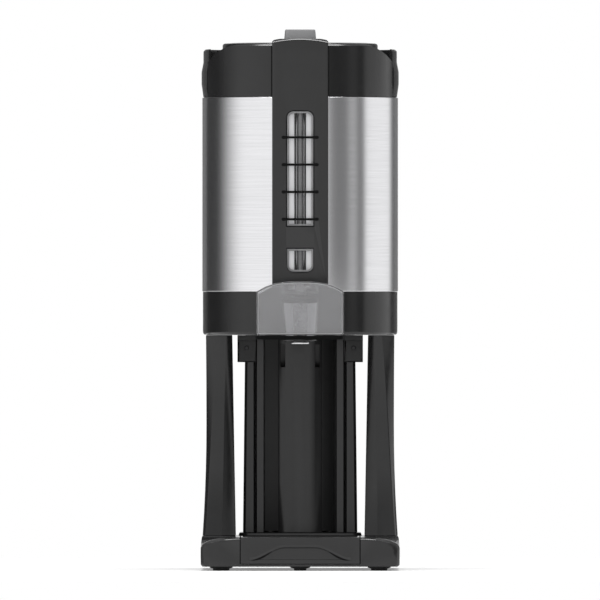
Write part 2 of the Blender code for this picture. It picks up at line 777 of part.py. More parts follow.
def wraps():
    outer = BODY_RADIUS
    inner = BODY_RADIUS - WRAP_WALL
    bead = 0.0006
    bead_height = 0.0012
    profile = [(inner, STEEL_LOW), (outer - bead, STEEL_LOW), (outer, STEEL_LOW + bead_height),
               (outer, STEEL_TOP - bead_height), (outer - bead, STEEL_TOP), (inner, STEEL_TOP)]
    front_steps = 28
    rear_steps = 44
    front = PANEL_ANGLE - SEAM_ANGLE
    place("front_wrap", turned_arc(profile, body_centre(), -front, front, front_steps), "brushed_steel")
    place("rear_wrap", turned_arc(profile, body_centre(), PANEL_ANGLE, FULL_TURN - PANEL_ANGLE, rear_steps),
          "brushed_steel")


# Top: front collar, rear collar with the shoulders, and the deck under the lid

FRONT_COLLAR_RISE = 0.0048
TOP_COLLAR_WALL = 0.0042
COLLAR_INNER = COLLAR_RADIUS - TOP_COLLAR_WALL
DECK_THICKNESS = 0.0040
DECK_DROP = 0.0075


def top_collar():
    low = STEEL_TOP + GAP
    top = SHOULDER_TOP + FRONT_COLLAR_RISE
    lip = 0.0015
    steps = 28
    profile = [(COLLAR_INNER, low), (COLLAR_RADIUS, low), (COLLAR_RADIUS, top - lip),
               (COLLAR_RADIUS - lip, top), (COLLAR_INNER, top)]
    item = place("top_collar",
                 turned_arc(profile, body_centre(), -PANEL_ANGLE + SEAM_ANGLE, PANEL_ANGLE - SEAM_ANGLE, steps),
                 "black_plastic")
    # Seen from the front, the top edge is level in the middle and falls away in an arch at each side
    arch_fall = 0.0280
    arch_steps = 8
    arch_start = COLLAR_RADIUS - ARCH_RUN
    for side, label in ((-1, "left"), (1, "right")):
        outline = [(side * arch_start, top)]
        for step in range(1, arch_steps + 1):
            share = step / arch_steps
            fall = arch_fall * share ** ARCH_POWER
            outline.append((side * (arch_start + ARCH_RUN * share), top - fall))
        edge = side * (COLLAR_RADIUS + OVERRUN)
        outline += [(edge, outline[-1][1]), (edge, top + OVERRUN), (side * arch_start, top + OVERRUN)]
        cut(item, prism(outline, "Y", COLLAR_FRONT - OVERRUN, BODY_Y), "arch_" + label)
    return item


ARCH_RUN = 0.0510
ARCH_POWER = 3


def rear_collar():
    low = STEEL_TOP + GAP
    top = SHOULDER_TOP
    steps = 44
    waist_low = 0.0150
    waist_high = 0.0290
    bulge = 0.0015
    foot_tuck = 0.0005
    top_tuck = 0.0006
    edge = 0.0022
    profile = [(COLLAR_INNER, low), (COLLAR_RADIUS - foot_tuck, low), (COLLAR_RADIUS + bulge, low + waist_low),
               (COLLAR_RADIUS + bulge, low + waist_high), (COLLAR_RADIUS - top_tuck, top - waist_low),
               (COLLAR_RADIUS - top_tuck, top - edge), (COLLAR_RADIUS - top_tuck - edge, top),
               (COLLAR_INNER, top)]
    return place("rear_collar",
                 turned_arc(profile, body_centre(), PANEL_ANGLE, FULL_TURN - PANEL_ANGLE, steps), "black_plastic")


DECK_TOP = SHOULDER_TOP - DECK_DROP
DECK_LOW = DECK_TOP - DECK_THICKNESS


def top_deck():
    profile = [(NECK_RADIUS + GAP, DECK_LOW), (COLLAR_INNER - GAP, DECK_LOW), (COLLAR_INNER - GAP, DECK_TOP),
               (NECK_RADIUS + GAP, DECK_TOP)]
    item = place("top_deck", turned(profile, body_centre(), VESSEL_STEPS), "dark_plastic")
    for side, label in ((-1, "left"), (1, "right")):
        span = sorted((side * (HINGE_BARREL_HALF + GAP), side * (HINGE_BARREL_HALF + GAP + HINGE_LUG)))
        ear = ear_outline(HINGE_Y, HINGE_Z, HINGE_RADIUS, DECK_TOP - DECK_THICKNESS / 2)
        fuse(item, prism(ear, "X", span[0], span[1]), "hinge_lug_" + label)
    cut(item, rod("X", (HINGE_Y, HINGE_Z), HINGE_PIN_RADIUS + PIN_CLEARANCE,
                  -HINGE_BARREL_HALF - HINGE_LUG - OVERRUN, HINGE_BARREL_HALF + HINGE_LUG + OVERRUN), "pin_bore")
    return item


# An upright ear with a round top about a pin
def ear_outline(depth, height, radius, foot):
    points = [(depth + radius, foot), (depth + radius, height)]
    for step in range(1, 2 * CORNER_STEPS):
        angle = pi * step / (2 * CORNER_STEPS)
        points.append((depth + radius * cos(angle), height + radius * sin(angle)))
    points += [(depth - radius, height), (depth - radius, foot)]
    return points


# The lid: domed cover, liner with a shallow plug, gasket, and a hinge at the back

LID_INSET = 0.0225
LID_RADIUS = COLLAR_RADIUS - LID_INSET
LID_EDGE = 0.0030
LID_WALL = 0.0025
LID_LIFT = 0.0026
LID_LOW = DECK_TOP + LID_LIFT
HINGE_BARREL_HALF = 0.0140
HINGE_LUG = 0.0050
HINGE_RADIUS = 0.0045
HINGE_PIN_RADIUS = 0.0020
HINGE_OFFSET = 0.0103
HINGE_RISE = 0.0020
PIN_CLEARANCE = 0.0003
HINGE_Y = BODY_Y + LID_RADIUS + HINGE_OFFSET
HINGE_Z = SHOULDER_TOP + HINGE_RISE


def lid_cover(hinge):
    path = [(LID_RADIUS, LID_LOW)]
    for step in range(CORNER_STEPS + 1):
        angle = pi / 2 * step / CORNER_STEPS
        path.append((LID_RADIUS - LID_EDGE * (1 - cos(angle)), LID_TOP - LID_EDGE * (1 - sin(angle))))
    path.append((0.0, LID_TOP))
    outer_then_inner = walled(path, LID_WALL)
    half = len(path)
    profile = outer_then_inner[half:] + outer_then_inner[:half]
    item = place("lid_cover", turned(profile, body_centre()), "black_plastic")

    arm_top = HINGE_Z + HINGE_RADIUS
    arm_low = HINGE_Z - HINGE_RADIUS
    arm_start = BODY_Y + lid_edge_reach(HINGE_BARREL_HALF)
    barrel = ear_arm(arm_start, arm_low, arm_top)
    fuse(item, prism(barrel, "X", -HINGE_BARREL_HALF, HINGE_BARREL_HALF), "hinge_arm")
    for side, label in ((-1, "left"), (1, "right")):
        span = sorted((side * (TAB_HALF + GAP), side * (TAB_HALF + GAP + LATCH_LUG)))
        fuse(item, prism(latch_lug_outline(), "X", span[0], span[1]), "latch_lug_" + label)
    cut(item, rod("X", (HINGE_Y, HINGE_Z), HINGE_PIN_RADIUS + PIN_CLEARANCE, -HINGE_BARREL_HALF - OVERRUN,
                  HINGE_BARREL_HALF + OVERRUN), "pin_bore")
    cut(item, rod("X", (LATCH_Y, LATCH_Z), LATCH_PIN_RADIUS + PIN_CLEARANCE,
                  -TAB_HALF - LATCH_LUG - OVERRUN, TAB_HALF + LATCH_LUG + OVERRUN), "latch_bore")
    hang(item, hinge)
    return item


# How far the middle of the cover's side wall lies from the centre line, at a distance to the side
def lid_edge_reach(across):
    middle = LID_RADIUS - LID_WALL / 2
    return sqrt(middle * middle - across * across)


# The lid's hinge arm, from the cover's edge to a round end about the pin
def ear_arm(start, low, top):
    points = [(start, low), (HINGE_Y, low)]
    for step in range(1, 2 * CORNER_STEPS):
        angle = pi * step / (2 * CORNER_STEPS) - pi / 2
        points.append((HINGE_Y + HINGE_RADIUS * cos(angle), HINGE_Z + HINGE_RADIUS * sin(angle)))
    points += [(HINGE_Y, top), (start, top)]
    return points


PLUG_CLEARANCE = 0.0024
PLUG_DRAFT = 0.0011
LINER_PLUG_TOP = LINER_NECK - PLUG_CLEARANCE
LINER_PLUG_LOW = LINER_PLUG_TOP - PLUG_DRAFT
PLUG_DEPTH = 0.0140
LID_LINER_WALL = 0.0020
GASKET_HEIGHT = 0.0030
LIP_TOP = MOUTH + GAP + VESSEL_WALL
FLANGE_LOW = LIP_TOP + GASKET_HEIGHT + 2 * GAP


def lid_liner(hinge):
    flange = LID_RADIUS - LID_WALL - GAP
    edge = 0.0020
    path = [(0.0, FLANGE_LOW - PLUG_DEPTH), (LINER_PLUG_LOW - edge, FLANGE_LOW - PLUG_DEPTH),
            (LINER_PLUG_LOW, FLANGE_LOW - PLUG_DEPTH + edge), (LINER_PLUG_TOP, FLANGE_LOW), (flange, FLANGE_LOW)]
    item = place("lid_liner", turned(walled(path, LID_LINER_WALL), body_centre(), VESSEL_STEPS), "dark_plastic")
    hang(item, hinge)
    return item


def lid_gasket(hinge):
    inner = LINER_PLUG_TOP + GAP
    outer = NECK_RADIUS + LINER_LIP
    low = LIP_TOP + GAP
    profile = [(inner, low), (outer, low), (outer, low + GASKET_HEIGHT), (inner, low + GASKET_HEIGHT)]
    item = place("lid_gasket", turned(profile, body_centre(), VESSEL_STEPS), "silicone")
    hang(item, hinge)
    return item


def lid_hinge_pin():
    reach = HINGE_BARREL_HALF + HINGE_LUG + HINGE_PIN_RADIUS / 2
    return place("lid_hinge_pin", rod("X", (HINGE_Y, HINGE_Z), HINGE_PIN_RADIUS, -reach, reach), "plain_steel")


# The thumb latch on the front of the lid

TAB_HALF = 0.0185
TAB_TOP_HALF = 0.0172
TAB_THICKNESS = 0.0050
TAB_SETOFF = 0.0060
LATCH_LUG = 0.0035
LATCH_PIN_RADIUS = 0.0015
LATCH_EYE = 0.0033
HOOK_REACH = 0.0022
HOOK_HEIGHT = 0.0022
LATCH_Y = BODY_Y - LID_RADIUS - TAB_SETOFF - TAB_THICKNESS / 2
LATCH_RISE = 0.0033
HOOK_CLEARANCE = 0.0012
LATCH_Z = SHOULDER_TOP + LATCH_RISE
HOOK_LOW = DECK_TOP + HOOK_CLEARANCE
TAB_TOP = LID_TOP + TAB_RISE


def latch_lug_outline():
    start = BODY_Y - lid_edge_reach(TAB_HALF + GAP + LATCH_LUG)
    points = [(start, LATCH_Z + LATCH_EYE), (LATCH_Y, LATCH_Z + LATCH_EYE)]
    for step in range(1, 2 * CORNER_STEPS):
        angle = pi / 2 + pi * step / (2 * CORNER_STEPS)
        points.append((LATCH_Y + LATCH_EYE * cos(angle), LATCH_Z + LATCH_EYE * sin(angle)))
    points += [(LATCH_Y, LATCH_Z - LATCH_EYE), (start, LATCH_Z - LATCH_EYE)]
    return points


def latch_tab(latch):
    front = LATCH_Y - TAB_THICKNESS / 2
    back = LATCH_Y + TAB_THICKNESS / 2
    top_round = 0.0020
    thumb_round = 0.0014
    face = rounded([(-TAB_HALF, HOOK_LOW, 0.0), (TAB_HALF, HOOK_LOW, 0.0), (TAB_HALF, LID_TOP, 0.0),
                    (TAB_TOP_HALF, TAB_TOP, top_round), (-TAB_TOP_HALF, TAB_TOP, top_round),
                    (-TAB_HALF, LID_TOP, 0.0)])
    solid = prism(face, "Y", front, back)
    upper = lambda spot: spot.z > LID_TOP + WELD
    soften(solid, upper, thumb_round, 2)
    item = place("latch_tab", solid, "grey_plastic")
    hook = block((-TAB_HALF / 2, TAB_HALF / 2), (LATCH_Y, back + HOOK_REACH), (HOOK_LOW, HOOK_LOW + HOOK_HEIGHT))
    fuse(item, hook, "hook")
    cut(item, rod("X", (LATCH_Y, LATCH_Z), LATCH_PIN_RADIUS + PIN_CLEARANCE, -TAB_HALF - OVERRUN,
                  TAB_HALF + OVERRUN), "pin_bore")
    hang(item, latch)
    return item


def latch_pin(hinge):
    reach = TAB_HALF + GAP + LATCH_LUG
    item = place("latch_pin", rod("X", (LATCH_Y, LATCH_Z), LATCH_PIN_RADIUS, -reach, reach), "plain_steel")
    hang(item, hinge)
    return item


def latch_catch():
    post = 0.0016
    post_clearance = 0.0012
    lip = 0.0016
    half = TAB_HALF * CATCH_SHARE
    back_of_tab = LATCH_Y + TAB_THICKNESS / 2
    post_front = back_of_tab + HOOK_REACH + 2 * GAP + post_clearance
    lip_low = HOOK_LOW + HOOK_HEIGHT + 2 * GAP
    lip_front = back_of_tab + HOOK_REACH + 2 * GAP
    outline = [(post_front + post, DECK_TOP + GAP), (post_front + post, lip_low + lip), (lip_front, lip_low + lip),
               (lip_front, lip_low), (post_front, lip_low), (post_front, DECK_TOP + GAP)]
    return place("latch_catch", prism(outline, "X", -half, half), "plain_steel")


CATCH_SHARE = 0.45


# The spine: a channel with a rounded top, two windows and four level bars across the upper one

WINDOW_WIDTH = 0.0322
WINDOW_TOP_DROP = 0.0815
WINDOW_HEIGHT = 0.1324
WINDOW_ROUND = 0.0085
LOWER_WINDOW_WIDTH = 0.0308
LOWER_WINDOW_GAP = 0.0240
LOWER_WINDOW_HEIGHT = 0.0283
SPINE_WALL = 0.0030
SPINE_FOOT_RISE = 0.0050
SPINE_LOW = STEEL_LOW + SPINE_FOOT_RISE
WINDOW_TOP = SPINE_TOP - WINDOW_TOP_DROP
WINDOW_LOW = WINDOW_TOP - WINDOW_HEIGHT
LOWER_WINDOW_TOP = WINDOW_LOW - LOWER_WINDOW_GAP
LOWER_WINDOW_LOW = LOWER_WINDOW_TOP - LOWER_WINDOW_HEIGHT
BAR_COUNT = 4
BAR_HEIGHT = 0.0024
BAR_OVERLAP = 0.0046
BAR_PROUD = 0.0012
BAR_TOP_MARGIN = 0.0307
BAR_LOW_MARGIN = 0.0084


def spine_outline():
    crown_half = 0.0200
    crown_drop = 0.0033
    crown_steps = 4
    half = SPINE_WIDTH / 2
    right = [(half, SPINE_LOW), (half, SPINE_TOP - crown_drop)]
    for step in range(crown_steps):
        share = step / crown_steps
        right.append((mix(half - crown_drop / 2, crown_half, share),
                      SPINE_TOP - crown_drop * (1 - share) ** 2 / 2))
    right.append((crown_half / 2, SPINE_TOP))
    return right + [(-across, height) for across, height in reversed(right)]


def spine():
    front_edge = 0.0014
    half = SPINE_WIDTH / 2
    solid = prism(spine_outline(), "Y", SPINE_FRONT, COLLAR_FRONT + SPINE_PROUD)
    soften(solid, at_depth(SPINE_FRONT), front_edge)
    item = place("spine", solid, "black_plastic")
    channel = block((-half + SPINE_WALL, half - SPINE_WALL), (SPINE_FRONT + SPINE_WALL, BODY_Y),
                    (SPINE_LOW - OVERRUN, SHOULDER_TOP))
    cut(item, channel, "channel")
    cut(item, rod("Z", body_centre(), BODY_RADIUS + GAP, SPINE_LOW - OVERRUN, SPINE_TOP + OVERRUN, BODY_STEPS),
        "body_seat")
    window = rounded([(-WINDOW_WIDTH / 2, WINDOW_LOW, 0.0), (WINDOW_WIDTH / 2, WINDOW_LOW, 0.0),
                      (WINDOW_WIDTH / 2, WINDOW_TOP, WINDOW_ROUND), (-WINDOW_WIDTH / 2, WINDOW_TOP, WINDOW_ROUND)])
    cut(item, prism(window, "Y", SPINE_FRONT - OVERRUN, SPINE_FRONT + SPINE_WALL + OVERRUN), "window")
    lower = rounded([(-LOWER_WINDOW_WIDTH / 2, LOWER_WINDOW_LOW, WINDOW_ROUND),
                     (LOWER_WINDOW_WIDTH / 2, LOWER_WINDOW_LOW, WINDOW_ROUND),
                     (LOWER_WINDOW_WIDTH / 2, LOWER_WINDOW_TOP, 0.0),
                     (-LOWER_WINDOW_WIDTH / 2, LOWER_WINDOW_TOP, 0.0)])
    cut(item, prism(lower, "Y", SPINE_FRONT - OVERRUN, SPINE_FRONT + SPINE_WALL + OVERRUN), "lower_window")
    bar_half = WINDOW_WIDTH / 2 + BAR_OVERLAP
    pitch = (WINDOW_HEIGHT - BAR_TOP_MARGIN - BAR_LOW_MARGIN) / (BAR_COUNT - 1)
    for index in range(BAR_COUNT):
        middle = WINDOW_TOP - BAR_TOP_MARGIN - index * pitch
        bar = block((-bar_half, bar_half), (SPINE_FRONT - BAR_PROUD, SPINE_FRONT + SPINE_WALL * BAR_DEPTH_SHARE),
                    (middle - BAR_HEIGHT / 2, middle + BAR_HEIGHT / 2))
        fuse(item, bar, "bar_" + str(index + 1))
    return item


BAR_DEPTH_SHARE = 0.8
RIB_WIDTH = 0.0023
RIB_DEPTH = 0.0025
RIB_SETOFF = 0.0058
RIB_END = 0.0040


def gauge_ribs():
    front = SPINE_FRONT + SPINE_WALL + GAP
    back = front + RIB_DEPTH
    low = LOWER_WINDOW_LOW - RIB_END
    high = WINDOW_TOP + RIB_END
    left = -RIB_SETOFF - RIB_WIDTH / 2
    right = RIB_SETOFF + RIB_WIDTH / 2
    item = place("gauge_ribs", block((left, left + RIB_WIDTH), (front, back), (low, high)), "dark_plastic")
    fuse(item, block((right - RIB_WIDTH, right), (front, back), (low, high)), "second_rib")
    for label, height in (("low", low), ("high", high - RIB_WIDTH)):
        tie = block((left, right), (front, back), (height, height + RIB_WIDTH))
        fuse(item, tie, "tie_" + label)
    return item


# The gauge: a tee on the shank feeds an upright glass tube behind the windows

TEE_HALF = 0.0100
NUT_HEIGHT = 0.0048
NUT_RADIUS = 0.0120
TEE_DEPTH = 0.0094
TEE_DROP = 0.0095
TEE_HEIGHT = 0.0420
TUBE_WALL = 0.0009
SEAL_HEIGHT = 0.0040
CAP_HEIGHT = 0.0120
CAP_WALL = 0.0016
TEE_BACK = COLLAR_FRONT - GAP - NUT_HEIGHT - GAP
TEE_FRONT = TEE_BACK - TEE_DEPTH
TUBE_Y = (TEE_BACK + TEE_FRONT) / 2
TEE_TOP = SHANK_Z - TEE_DROP + TEE_HEIGHT
TUBE_LOW = TEE_TOP + SEAL_HEIGHT + 2 * GAP
TUBE_RISE = 0.0110
TUBE_HIGH = WINDOW_TOP + TUBE_RISE


def gauge_tee():
    edge = 0.0010
    low = SHANK_Z - TEE_DROP
    solid = block((-TEE_HALF, TEE_HALF), (TEE_FRONT, TEE_BACK), (low, TEE_TOP))
    soften(solid, at_depth(TEE_FRONT), edge, 1)
    item = place("gauge_tee", solid, "dark_plastic")
    cut(item, rod("Y", (0.0, SHANK_Z), SHANK_RADIUS + GAP, TEE_FRONT - OVERRUN, TEE_BACK + OVERRUN), "shank_bore")
    cut(item, rod("Z", (0.0, TUBE_Y), TUBE_RADIUS - TUBE_WALL, SHANK_Z, TEE_TOP + OVERRUN), "tube_bore")
    return item


def tube_seals():
    for label, low in (("lower_tube_seal", TEE_TOP + GAP), ("upper_tube_seal", TUBE_HIGH + GAP)):
        profile = [(TUBE_RADIUS - TUBE_WALL, low), (TUBE_RADIUS + TUBE_WALL, low),
                   (TUBE_RADIUS + TUBE_WALL, low + SEAL_HEIGHT), (TUBE_RADIUS - TUBE_WALL, low + SEAL_HEIGHT)]
        place(label, turned(profile, (0.0, TUBE_Y), SMALL_STEPS), "silicone")


def sight_tube():
    profile = [(TUBE_RADIUS - TUBE_WALL, TUBE_LOW), (TUBE_RADIUS, TUBE_LOW), (TUBE_RADIUS, TUBE_HIGH),
               (TUBE_RADIUS - TUBE_WALL, TUBE_HIGH)]
    return place("sight_tube", turned(profile, (0.0, TUBE_Y), SMALL_STEPS), "clear_glass")


def tube_top_cap():
    inner = TUBE_RADIUS + TUBE_WALL + GAP
    outer = inner + CAP_WALL
    vent = 0.0010
    top = TUBE_HIGH + SEAL_HEIGHT + 2 * GAP + CAP_WALL
    low = top - CAP_HEIGHT
    roof = top - CAP_WALL
    profile = [(inner, low), (outer, low), (outer, top), (vent, top), (vent, roof), (inner, roof)]
    return place("tube_top_cap", turned(profile, (0.0, TUBE_Y), SMALL_STEPS), "dark_plastic")


# The faucet: shank through both vessels, valve body, bonnet, stem, seat cup and spring

NECK_LENGTH = 0.0238
VALVE_TOP_RADIUS = 0.0205
VALVE_LOW_RADIUS = 0.0171
VALVE_BORE = 0.0130
SPOUT_RADIUS = 0.0103
SPOUT_BORE = 0.0080
LIP_RADIUS = 0.0194
LIP_HEIGHT = 0.0045
VALVE_HEIGHT = 0.0430
SEAT_RISE = 0.0060
VALVE_Y = TEE_FRONT - GAP - NECK_LENGTH
SPOUT_LOW = BODY_LOW - SPOUT_DROP
OUTLET_HEIGHT = 0.0034
SEAT_FLOOR = 0.0012
LIP_LOW = SPOUT_LOW + OUTLET_HEIGHT
SEAT_LOW = LIP_LOW + LIP_HEIGHT + SEAT_FLOOR
VALVE_TOP = LIP_LOW + VALVE_HEIGHT
STEM_RADIUS = 0.0030
CUP_HEIGHT = 0.0120


def faucet_shank():
    bore = SHANK_RADIUS - SHANK_WALL
    flange_thickness = 0.0022
    end = TEE_FRONT
    inside = shank_flange_face()
    profile = [(bore, 0.0), (SHANK_FLANGE, 0.0), (SHANK_FLANGE, flange_thickness),
               (SHANK_RADIUS, flange_thickness),
               (SHANK_RADIUS, inside + flange_thickness - end), (bore, inside + flange_thickness - end)]
    data = turned(profile, (0.0, 0.0), SMALL_STEPS)
    turn_forward(data, (0.0, inside + flange_thickness, SHANK_Z))
    return place("faucet_shank", data, "plain_steel")


# The flange stands clear of the curved liner wall at its widest
def shank_flange_face():
    inner = (LINER_RADIUS - VESSEL_WALL) * cos(pi / VESSEL_STEPS)
    return BODY_Y - sqrt(inner * inner - SHANK_FLANGE * SHANK_FLANGE) + GASKET_THICKNESS + 2 * GAP


GASKET_THICKNESS = 0.0015


def shank_gasket():
    outer = SHANK_FLANGE - GAP
    start = shank_flange_face() - GAP
    profile = [(SHANK_RADIUS + GAP, 0.0), (outer, 0.0), (outer, GASKET_THICKNESS),
               (SHANK_RADIUS + GAP, GASKET_THICKNESS)]
    data = turned(profile, (0.0, 0.0), SMALL_STEPS)
    turn_forward(data, (0.0, start, SHANK_Z))
    return place("shank_gasket", data, "silicone")


def shank_nut():
    sides = 6
    outline = circle((0.0, SHANK_Z), NUT_RADIUS, sides)
    item = place("shank_nut", prism(outline, "Y", COLLAR_FRONT - GAP - NUT_HEIGHT, COLLAR_FRONT - GAP),
                 "plain_steel")
    cut(item, rod("Y", (0.0, SHANK_Z), SHANK_RADIUS + GAP, TEE_FRONT, BODY_Y), "bore")
    return item


def spout_ring():
    tuck = 0.0010
    lip_top = LIP_LOW + LIP_HEIGHT
    profile = [(SPOUT_BORE, SPOUT_LOW), (SPOUT_RADIUS, SPOUT_LOW), (SPOUT_RADIUS, LIP_LOW),
               (LIP_RADIUS - tuck, LIP_LOW), (LIP_RADIUS, LIP_LOW + tuck), (LIP_RADIUS, lip_top - tuck),
               (LIP_RADIUS - tuck, lip_top), (SPOUT_BORE, lip_top)]
    return place("spout_ring", turned(profile, (0.0, VALVE_Y), VALVE_STEPS), "black_plastic")


def faucet_body():
    low = LIP_LOW + LIP_HEIGHT + GAP
    profile = [(SPOUT_BORE, low), (VALVE_LOW_RADIUS, low), (VALVE_TOP_RADIUS, VALVE_TOP),
               (VALVE_BORE, VALVE_TOP), (VALVE_BORE, SEAT_LOW + SEAT_RISE), (SPOUT_BORE, SEAT_LOW)]
    item = place("faucet_body", turned(profile, (0.0, VALVE_Y), VALVE_STEPS), "plain_steel")
    neck_radius = SHANK_RADIUS + PLASTIC_WALL - GAP
    neck_end = VALVE_Y + (VALVE_BORE + VALVE_LOW_RADIUS) / 2
    fuse(item, rod("Y", (0.0, SHANK_Z), neck_radius, neck_end, TEE_FRONT - GAP), "neck")
    cut(item, rod("Y", (0.0, SHANK_Z), SHANK_RADIUS - PLASTIC_WALL, VALVE_Y, TEE_FRONT + OVERRUN), "inlet")
    return item


# The bonnet closes the valve, guides the stem and carries the lever's pin on two ears
BONNET_THICKNESS = 0.0055
BONNET_BOSS = 0.0032
LEVER_ARM = 0.0108
EAR_RADIUS = 0.0045
EAR_INNER = 0.0123
EAR_WIDTH = 0.0040
LEVER_PIN_RADIUS = 0.0018
BONNET_LOW = VALVE_TOP + GAP
BONNET_TOP = BONNET_LOW + BONNET_THICKNESS
PIVOT_Y = VALVE_Y + LEVER_ARM
PIVOT_RISE = 0.0090
PIVOT_Z = BONNET_TOP + PIVOT_RISE


def faucet_bonnet():
    boss = 0.0065
    hole = STEM_RADIUS + GAP
    edge = 0.0010
    profile = [(hole, BONNET_LOW), (VALVE_TOP_RADIUS, BONNET_LOW), (VALVE_TOP_RADIUS, BONNET_TOP - edge),
               (VALVE_TOP_RADIUS - edge, BONNET_TOP), (boss, BONNET_TOP), (boss, BONNET_TOP + BONNET_BOSS),
               (hole, BONNET_TOP + BONNET_BOSS)]
    item = place("faucet_bonnet", turned(profile, (0.0, VALVE_Y), VALVE_STEPS), "dark_plastic")
    for side, label in ((-1, "left"), (1, "right")):
        span = sorted((side * EAR_INNER, side * (EAR_INNER + EAR_WIDTH)))
        ear = ear_outline(PIVOT_Y, PIVOT_Z, EAR_RADIUS, BONNET_TOP - BONNET_THICKNESS / 2)
        fuse(item, prism(ear, "X", span[0], span[1]), "ear_" + label)
    cut(item, rod("X", (PIVOT_Y, PIVOT_Z), LEVER_PIN_RADIUS + PIN_CLEARANCE, -VALVE_TOP_RADIUS, VALVE_TOP_RADIUS),
        "pin_bore")
    return item


def lever_pin():
    reach = EAR_INNER + EAR_WIDTH + GAP + WEB_WIDTH
    return place("lever_pin", rod("X", (PIVOT_Y, PIVOT_Z), LEVER_PIN_RADIUS, -reach, reach), "plain_steel")


# The seat cup closes the cone below the bore
CUP_RADIUS = 0.0115
CUP_FOOT = 0.0095
CUP_LIFT = 0.0024
CUP_LOW = SEAT_LOW + CUP_LIFT
CUP_TOP = CUP_LOW + CUP_HEIGHT


def seat_cup(valve):
    chamfer = 0.0026
    profile = [(0.0, CUP_LOW), (CUP_FOOT, CUP_LOW), (CUP_RADIUS, CUP_LOW + chamfer), (CUP_RADIUS, CUP_TOP),
               (0.0, CUP_TOP)]
    item = place("seat_cup", turned(profile, (0.0, VALVE_Y), SMALL_STEPS), "silicone")
    hang(item, valve)
    return item


HEAD_RADIUS = 0.0072
HEAD_HEIGHT = 0.0022
FORK_HEIGHT = 0.0024
FORK_CLEARANCE = 0.0005
FORK_TOP = BONNET_TOP + BONNET_BOSS + FORK_CLEARANCE + FORK_HEIGHT


def valve_stem(valve):
    head_low = FORK_TOP + GAP
    profile = [(0.0, CUP_TOP + GAP), (STEM_RADIUS, CUP_TOP + GAP), (STEM_RADIUS, head_low), (HEAD_RADIUS, head_low),
               (HEAD_RADIUS, head_low + HEAD_HEIGHT), (0.0, head_low + HEAD_HEIGHT)]
    item = place("valve_stem", turned(profile, (0.0, VALVE_Y), SMALL_STEPS), "plain_steel")
    hang(item, valve)
    return item


def valve_spring(valve):
    inner = 0.0042
    outer = 0.0064
    low = CUP_TOP + GAP
    high = BONNET_LOW - GAP
    profile = [(inner, low), (outer, low), (outer, high), (inner, high)]
    item = place("valve_spring", turned(profile, (0.0, VALVE_Y), SMALL_STEPS), "plain_steel")
    hang(item, valve)
    return item


# The smoke-grey lever: a hood over the faucet, open behind and below, with two webs on the pin

LEVER_WALL = 0.0030
LEVER_REACH = 0.0260
LEVER_BACK_GAP = 0.0037
LEVER_ROUND = 0.0036
LEVER_SHOULDER = 0.0114
LEVER_RISE = 0.0608
LEVER_TOP = BODY_LOW + LEVER_RISE
LEVER_LOW = LEVER_TOP - LEVER_HEIGHT
LEVER_FRONT = VALVE_Y - LEVER_REACH
LEVER_BACK = SPINE_FRONT - LEVER_BACK_GAP
WEB_WIDTH = 0.0040
WEB_GAP = 0.0003
FORK_TIP = 0.0015


def lever_outline(inset, low):
    half = LEVER_WIDTH / 2 - inset
    top = LEVER_TOP - inset
    crown_steps = 5
    right = []
    if low > LEVER_LOW - WELD:
        for step in range(CORNER_STEPS + 1):
            angle = pi / 2 * step / CORNER_STEPS
            right.append((half - LEVER_ROUND * (1 - sin(angle)), low + LEVER_ROUND * (1 - cos(angle))))
    else:
        right.append((half, low))
    for step in range(crown_steps + 1):
        share = step / crown_steps
        across = mix(half, 0.0, share)
        right.append((across, top - LEVER_SHOULDER * (across / half) ** CROWN_POWER))
    left = [(-across, height) for across, height in reversed(right[:-1])]
    return right + left


CROWN_POWER = 3


def dispense_lever(lever):
    front_edge = 0.0020
    solid = prism(lever_outline(0.0, LEVER_LOW), "Y", LEVER_FRONT, LEVER_BACK)
    soften(solid, at_depth(LEVER_FRONT), front_edge)
    item = place("dispense_lever", solid, "smoke_plastic")
    hollow = lever_outline(LEVER_WALL, LEVER_LOW - OVERRUN)
    cut(item, prism(hollow, "Y", LEVER_FRONT + LEVER_WALL, LEVER_BACK + OVERRUN), "hollow")
    web_inner = EAR_INNER + EAR_WIDTH + WEB_GAP
    web_front = VALVE_Y - EAR_RADIUS
    for side, label in ((-1, "left"), (1, "right")):
        span = sorted((side * web_inner, side * (web_inner + WEB_WIDTH)))
        web = [(LEVER_BACK, PIVOT_Z - EAR_RADIUS), (LEVER_BACK, LEVER_TOP - LEVER_WALL),
               (web_front, LEVER_TOP - LEVER_WALL), (web_front, FORK_TOP - FORK_HEIGHT),
               (PIVOT_Y - EAR_RADIUS, FORK_TOP - FORK_HEIGHT), (PIVOT_Y - EAR_RADIUS, PIVOT_Z - EAR_RADIUS)]
        fuse(item, prism(web, "X", span[0], span[1]), "web_" + label)
        fork_span = sorted((side * (STEM_RADIUS + FORK_CLEARANCE), side * (web_inner + WEB_WIDTH / 2)))
        fork = block(fork_span, (VALVE_Y - FORK_TIP, VALVE_Y + EAR_RADIUS / 2),
                     (FORK_TOP - FORK_HEIGHT, FORK_TOP))
        fuse(item, fork, "fork_" + label)
    cut(item, rod("X", (PIVOT_Y, PIVOT_Z), LEVER_PIN_RADIUS + PIN_CLEARANCE, -LEVER_WIDTH / 3, LEVER_WIDTH / 3),
        "pin_bore")
    hang(item, lever)
    return item


# The back: a cover over the wrap, and a carry handle with its two screws

HANDLE_WIDTH = 0.0280
HANDLE_HEIGHT = 0.1300
HANDLE_GRIP = 0.0100
HANDLE_ARM = 0.0160
HANDLE_FOOT = 0.0180
HANDLE_FLANGE = 0.0060
HANDLE_MIDDLE = (STEEL_LOW + STEEL_TOP) / 2


